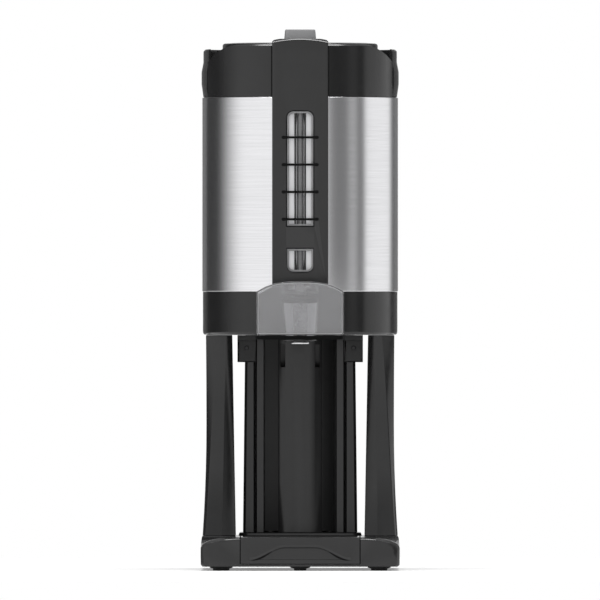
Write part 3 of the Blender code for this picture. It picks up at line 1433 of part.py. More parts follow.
def rear_cover():
    inner = BODY_RADIUS + GAP
    edge = 0.0008
    steps = 16
    low = STEEL_LOW
    high = STEEL_TOP
    profile = [(inner, low), (REAR_RADIUS - edge, low), (REAR_RADIUS, low + edge), (REAR_RADIUS, high - edge),
               (REAR_RADIUS - edge, high), (inner, high)]
    return place("rear_cover",
                 turned_arc(profile, body_centre(), pi - REAR_COVER_ANGLE, pi + REAR_COVER_ANGLE, steps),
                 "black_plastic")


def rear_handle():
    grip_back = WHOLE_DEPTH / 2
    seat = BODY_Y + REAR_RADIUS + GAP
    grip_front = grip_back - HANDLE_GRIP
    high = HANDLE_MIDDLE + HANDLE_HEIGHT / 2
    low = HANDLE_MIDDLE - HANDLE_HEIGHT / 2
    outer = 0.0120
    inner = 0.0060
    edge = 0.0030
    corners = [(seat, low - HANDLE_FOOT, 0.0), (seat + HANDLE_FLANGE, low - HANDLE_FOOT, 0.0),
               (seat + HANDLE_FLANGE, low, 0.0), (grip_back, low, outer), (grip_back, high, outer),
               (seat + HANDLE_FLANGE, high, 0.0), (seat + HANDLE_FLANGE, high + HANDLE_FOOT, 0.0),
               (seat, high + HANDLE_FOOT, 0.0), (seat, high - HANDLE_ARM, 0.0),
               (grip_front, high - HANDLE_ARM, inner), (grip_front, low + HANDLE_ARM, inner),
               (seat, low + HANDLE_ARM, 0.0)]
    solid = prism(rounded(corners), "X", -HANDLE_WIDTH / 2, HANDLE_WIDTH / 2)
    item = place("rear_handle", solid, "black_plastic")
    rounding = item.modifiers.new("edges", "BEVEL")
    rounding.width = edge / 2
    rounding.segments = 2
    rounding.limit_method = "ANGLE"
    rounding.angle_limit = radians(60)
    cut(item, rod("Z", body_centre(), REAR_RADIUS + GAP, low - HANDLE_FOOT - OVERRUN, high + HANDLE_FOOT + OVERRUN,
                  BODY_STEPS), "cover_seat")
    return item


def handle_screws():
    radius = 0.0042
    head = 0.0022
    edge = 0.0007
    face = BODY_Y + REAR_RADIUS + GAP + HANDLE_FLANGE + GAP
    for side, label in ((-1, "lower"), (1, "upper")):
        height = HANDLE_MIDDLE + side * (HANDLE_HEIGHT / 2 + HANDLE_FOOT / 2)
        profile = [(0.0, 0.0), (radius, 0.0), (radius, head - edge), (radius - edge, head), (0.0, head)]
        data = turned(profile, (0.0, 0.0), SMALL_STEPS)
        for vert in data.verts:
            across, depth, rise = vert.co
            vert.co = (across, face + rise, height + depth)
        place("handle_screw_" + label, data, "black_steel")


def build():
    clear_scene()
    base_frame()
    feet()
    tray = pivot("tray_slide", (0.0, BASE_FRONT, TRAY_BOTTOM))
    hang(drip_tray(), tray)
    grate = pivot("grate_lift", (0.0, (BASE_FRONT + TRAY_BACK) / 2, GRATE_LOW))
    hang(drip_grate(), grate)
    legs()
    rear_column()
    column_back_cover()
    column_brackets()
    bottom_plate()
    bottom_collar()
    flask_shell()
    inner_liner()
    liner_neck()
    wraps()
    top_collar()
    rear_collar()
    top_deck()
    hinge = pivot("lid_hinge", (0.0, HINGE_Y, HINGE_Z))
    lid_cover(hinge)
    lid_liner(hinge)
    lid_gasket(hinge)
    lid_hinge_pin()
    latch_pin(hinge)
    latch_tab(pivot("latch_pivot", (0.0, LATCH_Y, LATCH_Z)))
    latch_catch()
    spine()
    gauge_ribs()
    gauge_tee()
    tube_seals()
    sight_tube()
    tube_top_cap()
    faucet_shank()
    shank_gasket()
    shank_nut()
    spout_ring()
    faucet_body()
    faucet_bonnet()
    valve = pivot("valve_lift", (0.0, VALVE_Y, CUP_LOW))
    seat_cup(valve)
    valve_stem(valve)
    valve_spring(valve)
    dispense_lever(pivot("lever_pivot", (0.0, PIVOT_Y, PIVOT_Z)))
    lever_pin()
    rear_cover()
    rear_handle()
    handle_screws()


build()
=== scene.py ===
import bpy
import bmesh
import json
from math import cos, pi, radians, sin, sqrt
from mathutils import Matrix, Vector

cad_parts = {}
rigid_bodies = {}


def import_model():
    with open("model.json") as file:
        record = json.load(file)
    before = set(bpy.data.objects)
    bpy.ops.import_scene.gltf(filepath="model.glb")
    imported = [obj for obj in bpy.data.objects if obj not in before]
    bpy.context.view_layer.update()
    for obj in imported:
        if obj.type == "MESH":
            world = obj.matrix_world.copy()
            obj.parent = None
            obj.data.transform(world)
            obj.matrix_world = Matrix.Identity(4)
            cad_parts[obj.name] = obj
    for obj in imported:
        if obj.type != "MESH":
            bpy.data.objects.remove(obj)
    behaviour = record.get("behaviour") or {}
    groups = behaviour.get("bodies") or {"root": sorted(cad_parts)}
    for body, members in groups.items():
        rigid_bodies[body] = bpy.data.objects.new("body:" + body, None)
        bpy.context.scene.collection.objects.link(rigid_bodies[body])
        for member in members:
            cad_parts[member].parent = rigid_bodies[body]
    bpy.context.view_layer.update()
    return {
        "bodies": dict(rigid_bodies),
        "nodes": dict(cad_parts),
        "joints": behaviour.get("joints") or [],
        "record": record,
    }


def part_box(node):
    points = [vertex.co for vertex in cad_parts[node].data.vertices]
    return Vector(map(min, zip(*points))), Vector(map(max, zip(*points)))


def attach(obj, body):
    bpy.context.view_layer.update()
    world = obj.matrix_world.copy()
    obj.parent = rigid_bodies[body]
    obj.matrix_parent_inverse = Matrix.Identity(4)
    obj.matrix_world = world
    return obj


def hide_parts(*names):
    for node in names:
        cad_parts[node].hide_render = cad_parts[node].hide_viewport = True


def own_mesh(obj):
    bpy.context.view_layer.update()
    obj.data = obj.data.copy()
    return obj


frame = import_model()
nodes = frame["nodes"]
bodies = frame["record"]["behaviour"]["bodies"]
bodyOfNode = {node: body for body, members in bodies.items() for node in members}
slotOfNode = {row["node"]: row["material_slot"] for row in frame["record"]["subparts"]}
bpy.ops.object.select_all(action="DESELECT")
print("frame loaded:", len(nodes), "nodes")


# Small helpers for modelling

def activate(piece):
    bpy.ops.object.select_all(action="DESELECT")
    piece.select_set(True)
    bpy.context.view_layer.objects.active = piece


def startEdit(piece, kind="VERT"):
    activate(piece)
    bpy.ops.object.mode_set(mode="EDIT")
    bpy.ops.mesh.select_mode(type=kind)
    bpy.ops.mesh.select_all(action="SELECT")


def leaveEdit():
    bpy.ops.object.mode_set(mode="OBJECT")


# In edit mode, picks the faces, edges or points that a test says yes to
def pick(piece, kind, test):
    data = bmesh.from_edit_mesh(piece.data)
    bpy.ops.mesh.select_mode(type=kind)
    bpy.ops.mesh.select_all(action="DESELECT")
    parts = {"VERT": data.verts, "EDGE": data.edges, "FACE": data.faces}[kind]
    count = 0
    for part in parts:
        if test(part):
            part.select_set(True)
            count += 1
    data.select_flush_mode()
    bmesh.update_edit_mesh(piece.data)
    return count


def middleOf(part):
    return sum((corner.co for corner in part.verts), Vector()) / len(part.verts)


def tidyNormals(piece, merge=0.000001):
    startEdit(piece)
    bpy.ops.mesh.remove_doubles(threshold=merge)
    bpy.ops.mesh.normals_make_consistent(inside=False)
    leaveEdit()


def finishModifiers(piece):
    activate(piece)
    for step in [modifier.name for modifier in piece.modifiers]:
        bpy.ops.object.modifier_apply(modifier=step)


def smooth(piece, angle=35):
    activate(piece)
    bpy.ops.object.shade_smooth_by_angle(angle=radians(angle))


# Rounds the edges of a piece that turn by more than an angle, and keeps its flat faces flat
def roundEdges(piece, width, segments=3, angle=35):
    smooth(piece, angle)
    bevel = piece.modifiers.new("edge", "BEVEL")
    bevel.width = width
    bevel.segments = segments
    bevel.limit_method = "ANGLE"
    bevel.angle_limit = radians(angle)
    bevel.use_clamp_overlap = True
    bevel.miter_outer = "MITER_ARC"
    bevel.harden_normals = segments > 1
    finishModifiers(piece)
    if segments == 1:
        smooth(piece, 30)


def dress(piece, material):
    piece.data.materials.clear()
    piece.data.materials.append(material)


# A piece of the scene takes a node's place and body, and the finish of the node's slot
def standFor(piece, node, *others):
    if not piece.data.materials:
        dress(piece, finishes[slotOfNode[node]])
    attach(piece, bodyOfNode[node])
    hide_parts(node, *others)
    print("made", piece.name, "for", node, len(piece.data.polygons), "faces")


# A new piece that has no node of its own goes with a node
def goWith(piece, node, slot=None):
    slot = slot or slotOfNode[node]
    if not piece.data.materials:
        dress(piece, finishes[slot])
    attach(piece, bodyOfNode[node])
    print("made", piece.name, "with", node, len(piece.data.polygons), "faces")


# A node's shape, merged and tidied so that its edges can be rounded
def copyOfNode(name, node, flatten=True):
    mesh = nodes[node].data.copy()
    piece = bpy.data.objects.new(name, mesh)
    bpy.context.scene.collection.objects.link(piece)
    startEdit(piece)
    bpy.ops.mesh.remove_doubles(threshold=0.00001)
    if flatten:
        bpy.ops.mesh.dissolve_limited(angle_limit=radians(0.5))
    bpy.ops.mesh.customdata_custom_splitnormals_clear()
    leaveEdit()
    return piece


# A flat outline of points, made by extruding from one vertex of a plane's corner onwards
def outlinePiece(name, points):
    bpy.ops.object.select_all(action="DESELECT")
    bpy.ops.mesh.primitive_plane_add(size=0.001, location=(0, 0, 0))
    piece = bpy.context.active_object
    piece.name = name
    bpy.ops.object.mode_set(mode="EDIT")
    pick(piece, "VERT", lambda corner: corner.index > 0)
    bpy.ops.mesh.delete(type="VERT")
    data = bmesh.from_edit_mesh(piece.data)
    data.verts.ensure_lookup_table()
    data.verts[0].co = points[0]
    data.verts[0].select_set(True)
    bmesh.update_edit_mesh(piece.data)
    for before, after in zip(points, points[1:]):
        bpy.ops.mesh.extrude_vertices_move(TRANSFORM_OT_translate={"value": Vector(after) - Vector(before)})
    bpy.ops.mesh.select_all(action="SELECT")
    bpy.ops.mesh.edge_face_add()
    leaveEdit()
    return piece


# The points joined in an open line, left in edit mode with all of it selected
def openPath(name, points):
    path = outlinePiece(name, points)
    startEdit(path)
    bpy.ops.mesh.delete(type="ONLY_FACE")
    first, last = Vector(points[0]), Vector(points[-1])
    pick(path, "EDGE", lambda edge: all(min((corner.co - first).length, (corner.co - last).length) < 0.00001
                                        for corner in edge.verts))
    bpy.ops.mesh.delete(type="EDGE_FACE")
    bpy.ops.mesh.select_all(action="SELECT")
    return path


# A flat outline in the X-Z plane made a slab between two depths; with a width it is a ring of that width
def slabPiece(name, outline, front, back, width=None):
    piece = outlinePiece(name, [(across, (front + back) / 2, height) for across, height in outline])
    if width:
        startEdit(piece, "FACE")
        bpy.ops.mesh.inset(thickness=width, depth=0.0)
        bpy.ops.mesh.delete(type="FACE")
        leaveEdit()
    wall = piece.modifiers.new("wall", "SOLIDIFY")
    wall.thickness = back - front
    wall.offset = 0.0
    wall.use_even_offset = True
    finishModifiers(piece)
    tidyNormals(piece)
    return piece


# A profile of (distance from the axis, height) spun round an upright axis
def turnedPiece(name, profile, middle, steps=64):
    piece = outlinePiece(name, [(middle[0] + across, middle[1], height) for across, height in profile])
    startEdit(piece)
    bpy.ops.mesh.delete(type="ONLY_FACE")
    bpy.ops.mesh.select_all(action="SELECT")
    bpy.ops.mesh.spin(steps=steps, angle=2 * pi, center=(middle[0], middle[1], 0.0), axis=(0, 0, 1))
    leaveEdit()
    tidyNormals(piece, 0.00001)
    return piece


def roundedOutline(left, right, low, high, lowRound, highRound, steps=8):
    points = []
    corners = [(right, low, -1, 1, lowRound), (right, high, -1, -1, highRound),
               (left, high, 1, -1, highRound), (left, low, 1, 1, lowRound)]
    starts = [-90, 0, 90, 180]
    for (across, height, inX, inZ, size), start in zip(corners, starts):
        if size <= 0.0:
            points.append((across, height))
            continue
        for step in range(steps + 1):
            angle = radians(start + 90 * step / steps)
            points.append((across + inX * size + size * cos(angle), height + inZ * size + size * sin(angle)))
    return points


# Finishes, all on Object coordinates

def newFinish(name, **values):
    material = bpy.data.materials.new(name)
    material.use_nodes = True
    tree = material.node_tree
    shader = tree.nodes["Principled BSDF"]
    for socket, value in values.items():
        shader.inputs[socket.replace("_", " ")].default_value = value
    return material, tree, shader


# Noise on the piece's own coordinates, with a scale for each axis
def addNoise(tree, scale, detail=4.0, roughness=0.55):
    place = tree.nodes.new("ShaderNodeTexCoord")
    mapping = tree.nodes.new("ShaderNodeMapping")
    mapping.inputs["Scale"].default_value = scale
    tree.links.new(place.outputs["Object"], mapping.inputs["Vector"])
    noise = tree.nodes.new("ShaderNodeTexNoise")
    noise.inputs["Scale"].default_value = 1.0
    noise.inputs["Detail"].default_value = detail
    noise.inputs["Roughness"].default_value = roughness
    tree.links.new(mapping.outputs["Vector"], noise.inputs["Vector"])
    return noise.outputs["Fac"]


def addRange(tree, value, low, high, fromLow=0.3, fromHigh=0.7):
    ranged = tree.nodes.new("ShaderNodeMapRange")
    ranged.inputs["From Min"].default_value = fromLow
    ranged.inputs["From Max"].default_value = fromHigh
    ranged.inputs["To Min"].default_value = low
    ranged.inputs["To Max"].default_value = high
    tree.links.new(value, ranged.inputs["Value"])
    return ranged.outputs["Result"]


# From one colour to another by a share; the first may be another blend
def addBlend(tree, share, first, second):
    mix = tree.nodes.new("ShaderNodeMix")
    mix.data_type = "RGBA"
    if isinstance(first, tuple):
        mix.inputs["A"].default_value = (*first, 1.0)
    else:
        tree.links.new(first, mix.inputs["A"])
    mix.inputs["B"].default_value = (*second, 1.0)
    tree.links.new(share, mix.inputs["Factor"])
    return mix.outputs["Result"]


def addBump(tree, shader, value, strength, distance):
    bump = tree.nodes.new("ShaderNodeBump")
    bump.inputs["Strength"].default_value = strength
    bump.inputs["Distance"].default_value = distance
    tree.links.new(value, bump.inputs["Height"])
    tree.links.new(bump.outputs["Normal"], shader.inputs["Normal"])


# How sharply the surface turns outwards here, for rubbed edges, and in the smoke plastic for a painted
# highlight on its rims
def edgeShare(tree, low=0.52, high=0.62):
    return addRange(tree, tree.nodes.new("ShaderNodeNewGeometry").outputs["Pointiness"], 0.0, 1.0, low, high)


def grey(level):
    return (level, level, level * 1.02)


def makeMoulded(name, look):
    material, tree, shader = newFinish(name, IOR=look["ior"])
    cloud = addNoise(tree, (38.0, 38.0, 38.0), 5.0)
    tone = addBlend(tree, addRange(tree, cloud, 0.0, 1.0), grey(look["tone"]), grey(look["tone"] * 1.2))
    tree.links.new(addBlend(tree, edgeShare(tree), tone, grey(look["rubbed"])), shader.inputs["Base Color"])
    shine = addNoise(tree, (90.0, 90.0, 90.0), 6.0)
    rough = addRange(tree, shine, look["rough"] - 0.04, look["rough"] + 0.05)
    tree.links.new(rough, shader.inputs["Roughness"])
    addBump(tree, shader, addNoise(tree, (look["grain"],) * 3, 2.0), look["grainStrength"], 0.00005)
    return material


blackLook = {"tone": 0.0145, "rubbed": 0.028, "rough": 0.17,
             "grain": 1500.0, "grainStrength": 0.10, "ior": 1.46}
darkLook = {"tone": 0.0075, "rubbed": 0.016, "rough": 0.42,
            "grain": 1100.0, "grainStrength": 0.32, "ior": 1.46}
greyLook = {"tone": 0.285, "rubbed": 0.340, "rough": 0.40,
            "grain": 1500.0, "grainStrength": 0.22, "ior": 1.46}


# A deep black with little shine, used as painted shade: seams, window seals, bar-end pads, the lever's dark
# edge and rim, the slivers under the scoop, and the level bars, which are also black of their own
paintedShadeLook = {"tone": 0.0040, "rubbed": 0.0080, "rough": 0.45,
            "grain": 1300.0, "grainStrength": 0.20, "ior": 1.14}


def makeBrushedSteel():
    look = {"dull": 0.770, "bright": 0.850, "streakLength": 22.0, "streakFine": 1900.0, "streakBroad": 900.0,
            "roughLow": 0.19, "roughHigh": 0.225, "rubbed": 0.93}
    material, tree, shader = newFinish("brushedSteel", Metallic=1.0)
    fine = addNoise(tree, (look["streakLength"], look["streakLength"], look["streakFine"]), 3.0, 0.6)
    longer = look["streakLength"] * 0.4
    broad = addNoise(tree, (longer, longer, look["streakBroad"]), 3.0, 0.6)
    both = tree.nodes.new("ShaderNodeMath")
    both.operation = "ADD"
    tree.links.new(fine, both.inputs[0])
    tree.links.new(broad, both.inputs[1])
    share = addRange(tree, both.outputs["Value"], 0.0, 1.0, 0.74, 1.26)
    tone = addBlend(tree, share, grey(look["dull"]), grey(look["bright"]))
    tree.links.new(addBlend(tree, edgeShare(tree, 0.55, 0.68), tone, grey(look["rubbed"])),
                   shader.inputs["Base Color"])
    tree.links.new(addRange(tree, share, look["roughHigh"], look["roughLow"], 0.0, 1.0),
                   shader.inputs["Roughness"])
    addBump(tree, shader, both.outputs["Value"], 0.03, 0.000005)
    return material


# Turned or drawn steel: fine marks across the piece and a slight cloud
def makeTurnedSteel(name, look):
    material, tree, shader = newFinish(name, Metallic=1.0)
    cloud = addNoise(tree, (60.0, 60.0, 60.0), 5.0)
    tone = addBlend(tree, addRange(tree, cloud, 0.0, 1.0), grey(look["dull"]), grey(look["bright"]))
    tree.links.new(addBlend(tree, edgeShare(tree), tone, grey(look["rubbed"])), shader.inputs["Base Color"])
    marks = addNoise(tree, (300.0, 300.0, 300.0), 3.0)
    tree.links.new(addRange(tree, marks, look["rough"] - 0.015, look["rough"] + 0.015),
                   shader.inputs["Roughness"])
    addBump(tree, shader, marks, 0.01, 0.000005)
    return material


plainLook = {"dull": 0.44, "bright": 0.48, "rubbed": 0.74, "rough": 0.27}
satinLook = {"dull": 0.80, "bright": 0.86, "rubbed": 0.90, "rough": 0.33}
oxideLook = {"dull": 0.020, "bright": 0.030, "rubbed": 0.060, "rough": 0.42}


# Smoke plastic; at sharp edges it turns to its lighter thick tone, which is a painted highlight along the
# rims
def makeSmokePlastic(name, look):
    material, tree, shader = newFinish(name, IOR=1.47, Transmission_Weight=look["clear"])
    cloud = addNoise(tree, (45.0, 45.0, 45.0), 4.0)
    tone = addBlend(tree, addRange(tree, cloud, 0.0, 1.0), grey(look["tone"]), grey(look["tone"] * 1.08))
    tree.links.new(addBlend(tree, edgeShare(tree), tone, grey(look["thick"])), shader.inputs["Base Color"])
    haze = addNoise(tree, (120.0, 120.0, 120.0), 5.0)
    rough = addRange(tree, haze, look["rough"] - 0.02, look["rough"] + 0.02)
    tree.links.new(rough, shader.inputs["Roughness"])
    addBump(tree, shader, addNoise(tree, (90.0, 90.0, 90.0), 2.0), 0.02, 0.00003)
    return material


smokeLook = {"tone": 0.600, "thick": 0.850, "clear": 0.72, "rough": 0.10}
# A lighter, less clear copy of the smoke plastic: painted highlight for the lever's bead and rib
paintedHighlightLook = {"tone": 0.400, "thick": 0.520, "clear": 0.20, "rough": 0.12}


def makeClearGlass():
    look = {"clear": 0.50, "low": 0.40, "high": 0.46, "roughLow": 0.03, "roughHigh": 0.08}
    material, tree, shader = newFinish("clearGlass", IOR=1.47, Transmission_Weight=look["clear"])
    cloud = addNoise(tree, (30.0, 30.0, 400.0), 3.0)
    tree.links.new(addBlend(tree, addRange(tree, cloud, 0.0, 1.0), grey(look["low"]), grey(look["high"])),
                   shader.inputs["Base Color"])
    tree.links.new(addRange(tree, cloud, look["roughLow"], look["roughHigh"]), shader.inputs["Roughness"])
    addBump(tree, shader, cloud, 0.05, 0.00002)
    return material


# Soft material with a fine grain, for the feet and the seals
def makeSoft(name, look):
    material, tree, shader = newFinish(name, IOR=1.42)
    cloud = addNoise(tree, (look["cloud"],) * 3, 5.0)
    tone = addBlend(tree, addRange(tree, cloud, 0.0, 1.0), grey(look["low"]), grey(look["high"]))
    tree.links.new(tone, shader.inputs["Base Color"])
    rough = addRange(tree, cloud, look["rough"] - 0.08, look["rough"] + 0.08)
    tree.links.new(rough, shader.inputs["Roughness"])
    addBump(tree, shader, addNoise(tree, (look["grain"],) * 3, 3.0), 0.30, 0.00007)
    return material


rubberLook = {"low": 0.012, "high": 0.022, "rough": 0.68, "cloud": 300.0, "grain": 1600.0}
siliconeLook = {"low": 0.52, "high": 0.60, "rough": 0.52, "cloud": 150.0, "grain": 1200.0}

finishes = {
    "black_plastic": makeMoulded("blackPlastic", blackLook),
    "dark_plastic": makeMoulded("darkPlastic", darkLook),
    "grey_plastic": makeMoulded("greyPlastic", greyLook),
    "smoke_plastic": makeSmokePlastic("smokePlastic", smokeLook),
    "brushed_steel": makeBrushedSteel(),
    "plain_steel": makeTurnedSteel("plainSteel", plainLook),
    "black_steel": makeTurnedSteel("blackSteel", oxideLook),
    "clear_glass": makeClearGlass(),
    "rubber": makeSoft("rubberFeet", rubberLook),
    "silicone": makeSoft("siliconeSeal", siliconeLook),
}
paintedHighlightSmoke = makeSmokePlastic("paintedHighlightSmoke", paintedHighlightLook)
satinAndHighlightSteel = makeTurnedSteel("satinAndHighlightSteel", satinLook)
paintedShadeBlack = makeMoulded("paintedShadeBlack", paintedShadeLook)
for node, item in nodes.items():
    dress(item, finishes[slotOfNode[node]])
print("finishes made:", len(finishes))


# The steel wrap: a thin sheet with rolled rims, spun round the body's middle in two parts

bodyMiddle = Vector((0.0, (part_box("bottom_collar")[0].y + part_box("bottom_collar")[1].y) / 2, 0.0))


def makeSteelWrap(name, node, startAngle, angle, steps):
    look = {"radius": 0.1118, "wall": 0.0010, "rim": 0.0007, "rimSteps": 4}
    low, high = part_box(node)
    outer = look["radius"]
    inner = outer - look["wall"]
    points = [(inner, low.z), (outer - look["rim"], low.z)]
    for step in range(1, look["rimSteps"] + 1):
        turn = pi / 2 * step / look["rimSteps"]
        points.append((outer - look["rim"] * (1 - sin(turn)), low.z + look["rim"] * (1 - cos(turn))))
    points += [(across, low.z + high.z - height) for across, height in reversed(points)]
    places = []
    for across, height in points:
        places.append((bodyMiddle.x + across * sin(startAngle),
                       bodyMiddle.y - across * cos(startAngle), height))
    piece = outlinePiece(name, places)
    startEdit(piece)
    bpy.ops.mesh.spin(steps=steps, angle=-angle, center=bodyMiddle, axis=(0, 0, 1))
    leaveEdit()
    tidyNormals(piece)
    smooth(piece, 30)
    standFor(piece, node)


wrapSplit = {"half": 72.0, "seam": 0.15}
frontHalf = radians(wrapSplit["half"] - wrapSplit["seam"])
rearHalf = radians(180 - wrapSplit["half"] - wrapSplit["seam"])
makeSteelWrap("frontSteel", "front_wrap", -frontHalf, 2 * frontHalf, 96)
makeSteelWrap("rearSteel", "rear_wrap", radians(wrapSplit["half"] + wrapSplit["seam"]), 2 * rearHalf, 144)


# Every moulded node with its edges rounded: width in metres, then how many segments

edgeWidths = {
    "base_frame": (0.0008, 1), "drip_tray": (0.0004, 2), "drip_grate": (0.0005, 2),
    "left_leg": (0.0030, 6), "right_leg": (0.0030, 6), "rear_column": (0.0008, 3),
    "column_back_cover": (0.0008, 2), "left_column_bracket": (0.0005, 2), "right_column_bracket": (0.0005, 2),
    "bottom_collar": (0.0003, 2), "top_collar": (0.0009, 1), "rear_collar": (0.0008, 1),
    "lid_cover": (0.0007, 1), "latch_tab": (0.0006, 3), "spine": (0.0009, 1),
    "dispense_lever": (0.0009, 3), "faucet_body": (0.0004, 2), "spout_ring": (0.0003, 2),
    "faucet_bonnet": (0.0004, 2), "rear_cover": (0.0006, 2), "rear_handle": (0.0015, 3),
}


piercedNodes = ["drip_grate", "rear_collar", "spine"]


def camelName(node):
    words = node.split("_")
    return words[0] + ("".join(word.capitalize() for word in words[1:]) or "Moulding")


# The faucet's flanks get the brighter satin steel: a painted highlight of the light strips on its sides
def paintFlankHighlight(piece):
    look = {"low": 0.42, "high": 0.90}
    piece.data.materials.append(satinAndHighlightSteel)
    for face in piece.data.polygons:
        if look["low"] < abs(face.normal.x) < look["high"] and abs(face.normal.z) < look["low"]:
            face.material_index = 1


def roundMouldings():
    for node, (width, segments) in edgeWidths.items():
        piece = copyOfNode(camelName(node), node, node not in piercedNodes)
        roundEdges(piece, width, segments)
        dress(piece, finishes[slotOfNode[node]])
        if node == "faucet_body":
            paintFlankHighlight(piece)
        standFor(piece, node)


roundMouldings()


# The sight gauge: a satin strip behind the tube, a grey frame in each window that is a painted highlight of
# its lit bevel, a dark seal round it that is painted shade, dark ribs and level bars

fineEdge = 0.0002       # the smallest rounding, in metres
cornerTurn = 50         # edges that turn by more than this many degrees are rounded on small pieces
gauge = {"front": -0.1088, "wall": 0.0030, "barProud": 0.0012, "half": 0.0161, "round": 0.0085,
         "windows": {"upper": (0.3906, 0.5230), "lower": (0.3383, 0.3666)},
         "barMiddles": (0.49229, 0.46123, 0.43017, 0.39911), "barHalf": 0.0208, "barHeight": 0.0024}


def windowOutline(name, grow):
    low, high = gauge["windows"][name]
    corner = gauge["round"] + grow
    rounds = (0.0, corner) if name == "upper" else (corner, 0.0)
    half = gauge["half"] + grow
    return roundedOutline(-half, half, low - grow, high + grow, *rounds)


# Round each window a seal of painted shade, and inside it a grey frame that paints the highlight of the
# window's lit bevel
def makeWindowFrames():
    look = {"sealWidth": 0.0034, "sealGap": 0.0010, "frameWidth": 0.0023, "thickness": 0.0008, "edge": 0.0006,
            "clear": 0.0002}
    back = gauge["front"] + gauge["wall"] + look["clear"]
    for name in gauge["windows"]:
        seal = slabPiece(name + "WindowShadeSeal", windowOutline(name, look["sealWidth"] - look["sealGap"]),
                         back, back + look["thickness"], look["sealWidth"])
        dress(seal, paintedShadeBlack)
        goWith(seal, "spine", "dark_plastic")
        frame = slabPiece(name + "WindowHighlightFrame", windowOutline(name, -look["sealGap"]),
                          back - look["thickness"], back + look["thickness"], look["frameWidth"])
        roundEdges(frame, look["edge"], 2, cornerTurn)
        goWith(frame, "spine", "grey_plastic")


def makeGaugeRibs():
    look = {"outer": 0.0066, "inner": 0.0048, "flare": 0.0030, "flareLength": 0.0210, "edge": 0.0007,
            "tieHalf": 0.0062, "tieTall": 0.0011, "tieInset": 0.0012, "tieFront": 0.0004, "tieEdge": 0.0003}
    low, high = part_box("gauge_ribs")
    bridge = gauge["windows"]["upper"][0], gauge["windows"]["lower"][1]
    ribs = []
    for side in (-1, 1):
        outline = [(look["outer"], low.z), (look["outer"], high.z), (look["flare"], high.z),
                   (look["inner"], high.z - look["flareLength"]), (look["inner"], bridge[0]),
                   (look["inner"], bridge[1]), (look["inner"], low.z + look["flareLength"]),
                   (look["flare"], low.z)]
        rib = slabPiece("gaugeRib", [(side * across, height) for across, height in outline], low.y, high.y)
        roundEdges(rib, look["edge"], 1, cornerTurn)
        ribs.append(rib)
    half, tall = look["tieHalf"], look["tieTall"]
    for height in (low.z + look["tieInset"], high.z - look["tieInset"]):
        tie = slabPiece("gaugeTie", [(-half, height - tall), (half, height - tall),
                                     (half, height + tall), (-half, height + tall)],
                        low.y + look["tieFront"], high.y - fineEdge)
        roundEdges(tie, look["tieEdge"], 1, cornerTurn)
        ribs.append(tie)
    activate(ribs[0])
    for rib in ribs:
        rib.select_set(True)
    bpy.ops.object.join()
    ribs[0].name = "gaugeRibs"
    standFor(ribs[0], "gauge_ribs")


def makeGaugeBacking():
    look = {"half": 0.0150, "low": 0.3330, "high": 0.5260, "front": -0.0900, "back": -0.0891, "round": 0.0030}
    outline = roundedOutline(-look["half"], look["half"], look["low"], look["high"],
                             look["round"], look["round"])
    strip = slabPiece("gaugeBacking", outline, look["front"], look["back"])
    roundEdges(strip, fineEdge, 2, cornerTurn)
    dress(strip, satinAndHighlightSteel)
    goWith(strip, "spine", "plain_steel")


# Dark level bars with a small sunk pad at each end: the pads are painted shade of the notches the bars pass
# through, and the bars' deep black is partly their own colour and partly painted shade
def makeLevelBars():
    look = {"proud": 0.0003, "depth": 0.0009, "longer": 0.0002, "taller": 0.0001, "round": 0.0006,
            "edge": 0.0004, "padGap": 0.0004, "padLength": 0.0042, "padHeight": 0.0036,
            "padRound": 0.0012, "padDepth": 0.0006}
    front = gauge["front"] - gauge["barProud"] - look["proud"]
    for index, middle in enumerate(gauge["barMiddles"]):
        half = gauge["barHalf"] + look["longer"]
        high = gauge["barHeight"] / 2 + look["taller"]
        outline = roundedOutline(-half, half, middle - high, middle + high, look["round"], look["round"], 3)
        bar = slabPiece("levelBar" + str(index + 1), outline, front, front + look["depth"])
        roundEdges(bar, look["edge"], 2, cornerTurn)
        dress(bar, paintedShadeBlack)
        goWith(bar, "spine", "dark_plastic")
        for side, label in ((-1, "Left"), (1, "Right")):
            near = gauge["half"] + look["padGap"]
            far = near + look["padLength"]
            span = sorted((side * near, side * far))
            outline = roundedOutline(span[0], span[1], middle - look["padHeight"] / 2,
                                     middle + look["padHeight"] / 2, look["padRound"], look["padRound"], 4)
            pad = slabPiece("barPad" + label + str(index + 1), outline,
                            gauge["front"] - fineEdge, gauge["front"] + look["padDepth"])
            roundEdges(pad, fineEdge, 1, cornerTurn)
            dress(pad, paintedShadeBlack)
            goWith(pad, "spine", "dark_plastic")


makeWindowFrames()
makeGaugeRibs()
makeGaugeBacking()
makeLevelBars()


# Under the lever: a black rim that moves with it, its deep black partly painted shade under the lever, and a
# steel tip in the spout

def makeLeverRim():
    look = {"half": 0.0488, "top": 0.2668, "low": 0.2624, "corner": 0.0060, "wall": 0.0024, "edge": 0.0007,
            "frontInset": 0.0006, "backInset": 0.0004, "steps": 6}
    low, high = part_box("dispense_lever")
    front = low.y + look["frontInset"]
    back = high.y - look["backInset"]
    points = [(-look["half"], back)]
    for step in range(look["steps"] + 1):
        angle = pi / 2 * step / look["steps"]
        points.append((-look["half"] + look["corner"] * (1 - cos(angle)),
                       front + look["corner"] * (1 - sin(angle))))
    points += [(-across, depth) for across, depth in reversed(points)]
    path = openPath("leverRim", [(across, depth, look["low"]) for across, depth in points])
    bpy.ops.mesh.extrude_edges_move(TRANSFORM_OT_translate={"value": (0, 0, look["top"] - look["low"])})
    bpy.ops.mesh.select_all(action="SELECT")
    bpy.ops.mesh.normals_make_consistent(inside=False)
    leaveEdit()
    wall = path.modifiers.new("wall", "SOLIDIFY")
    wall.thickness = look["wall"]
    wall.offset = 0.0
    finishModifiers(path)
    tidyNormals(path)
    roundEdges(path, look["edge"], 3, cornerTurn)
    dress(path, paintedShadeBlack)
    goWith(path, "dispense_lever", "dark_plastic")
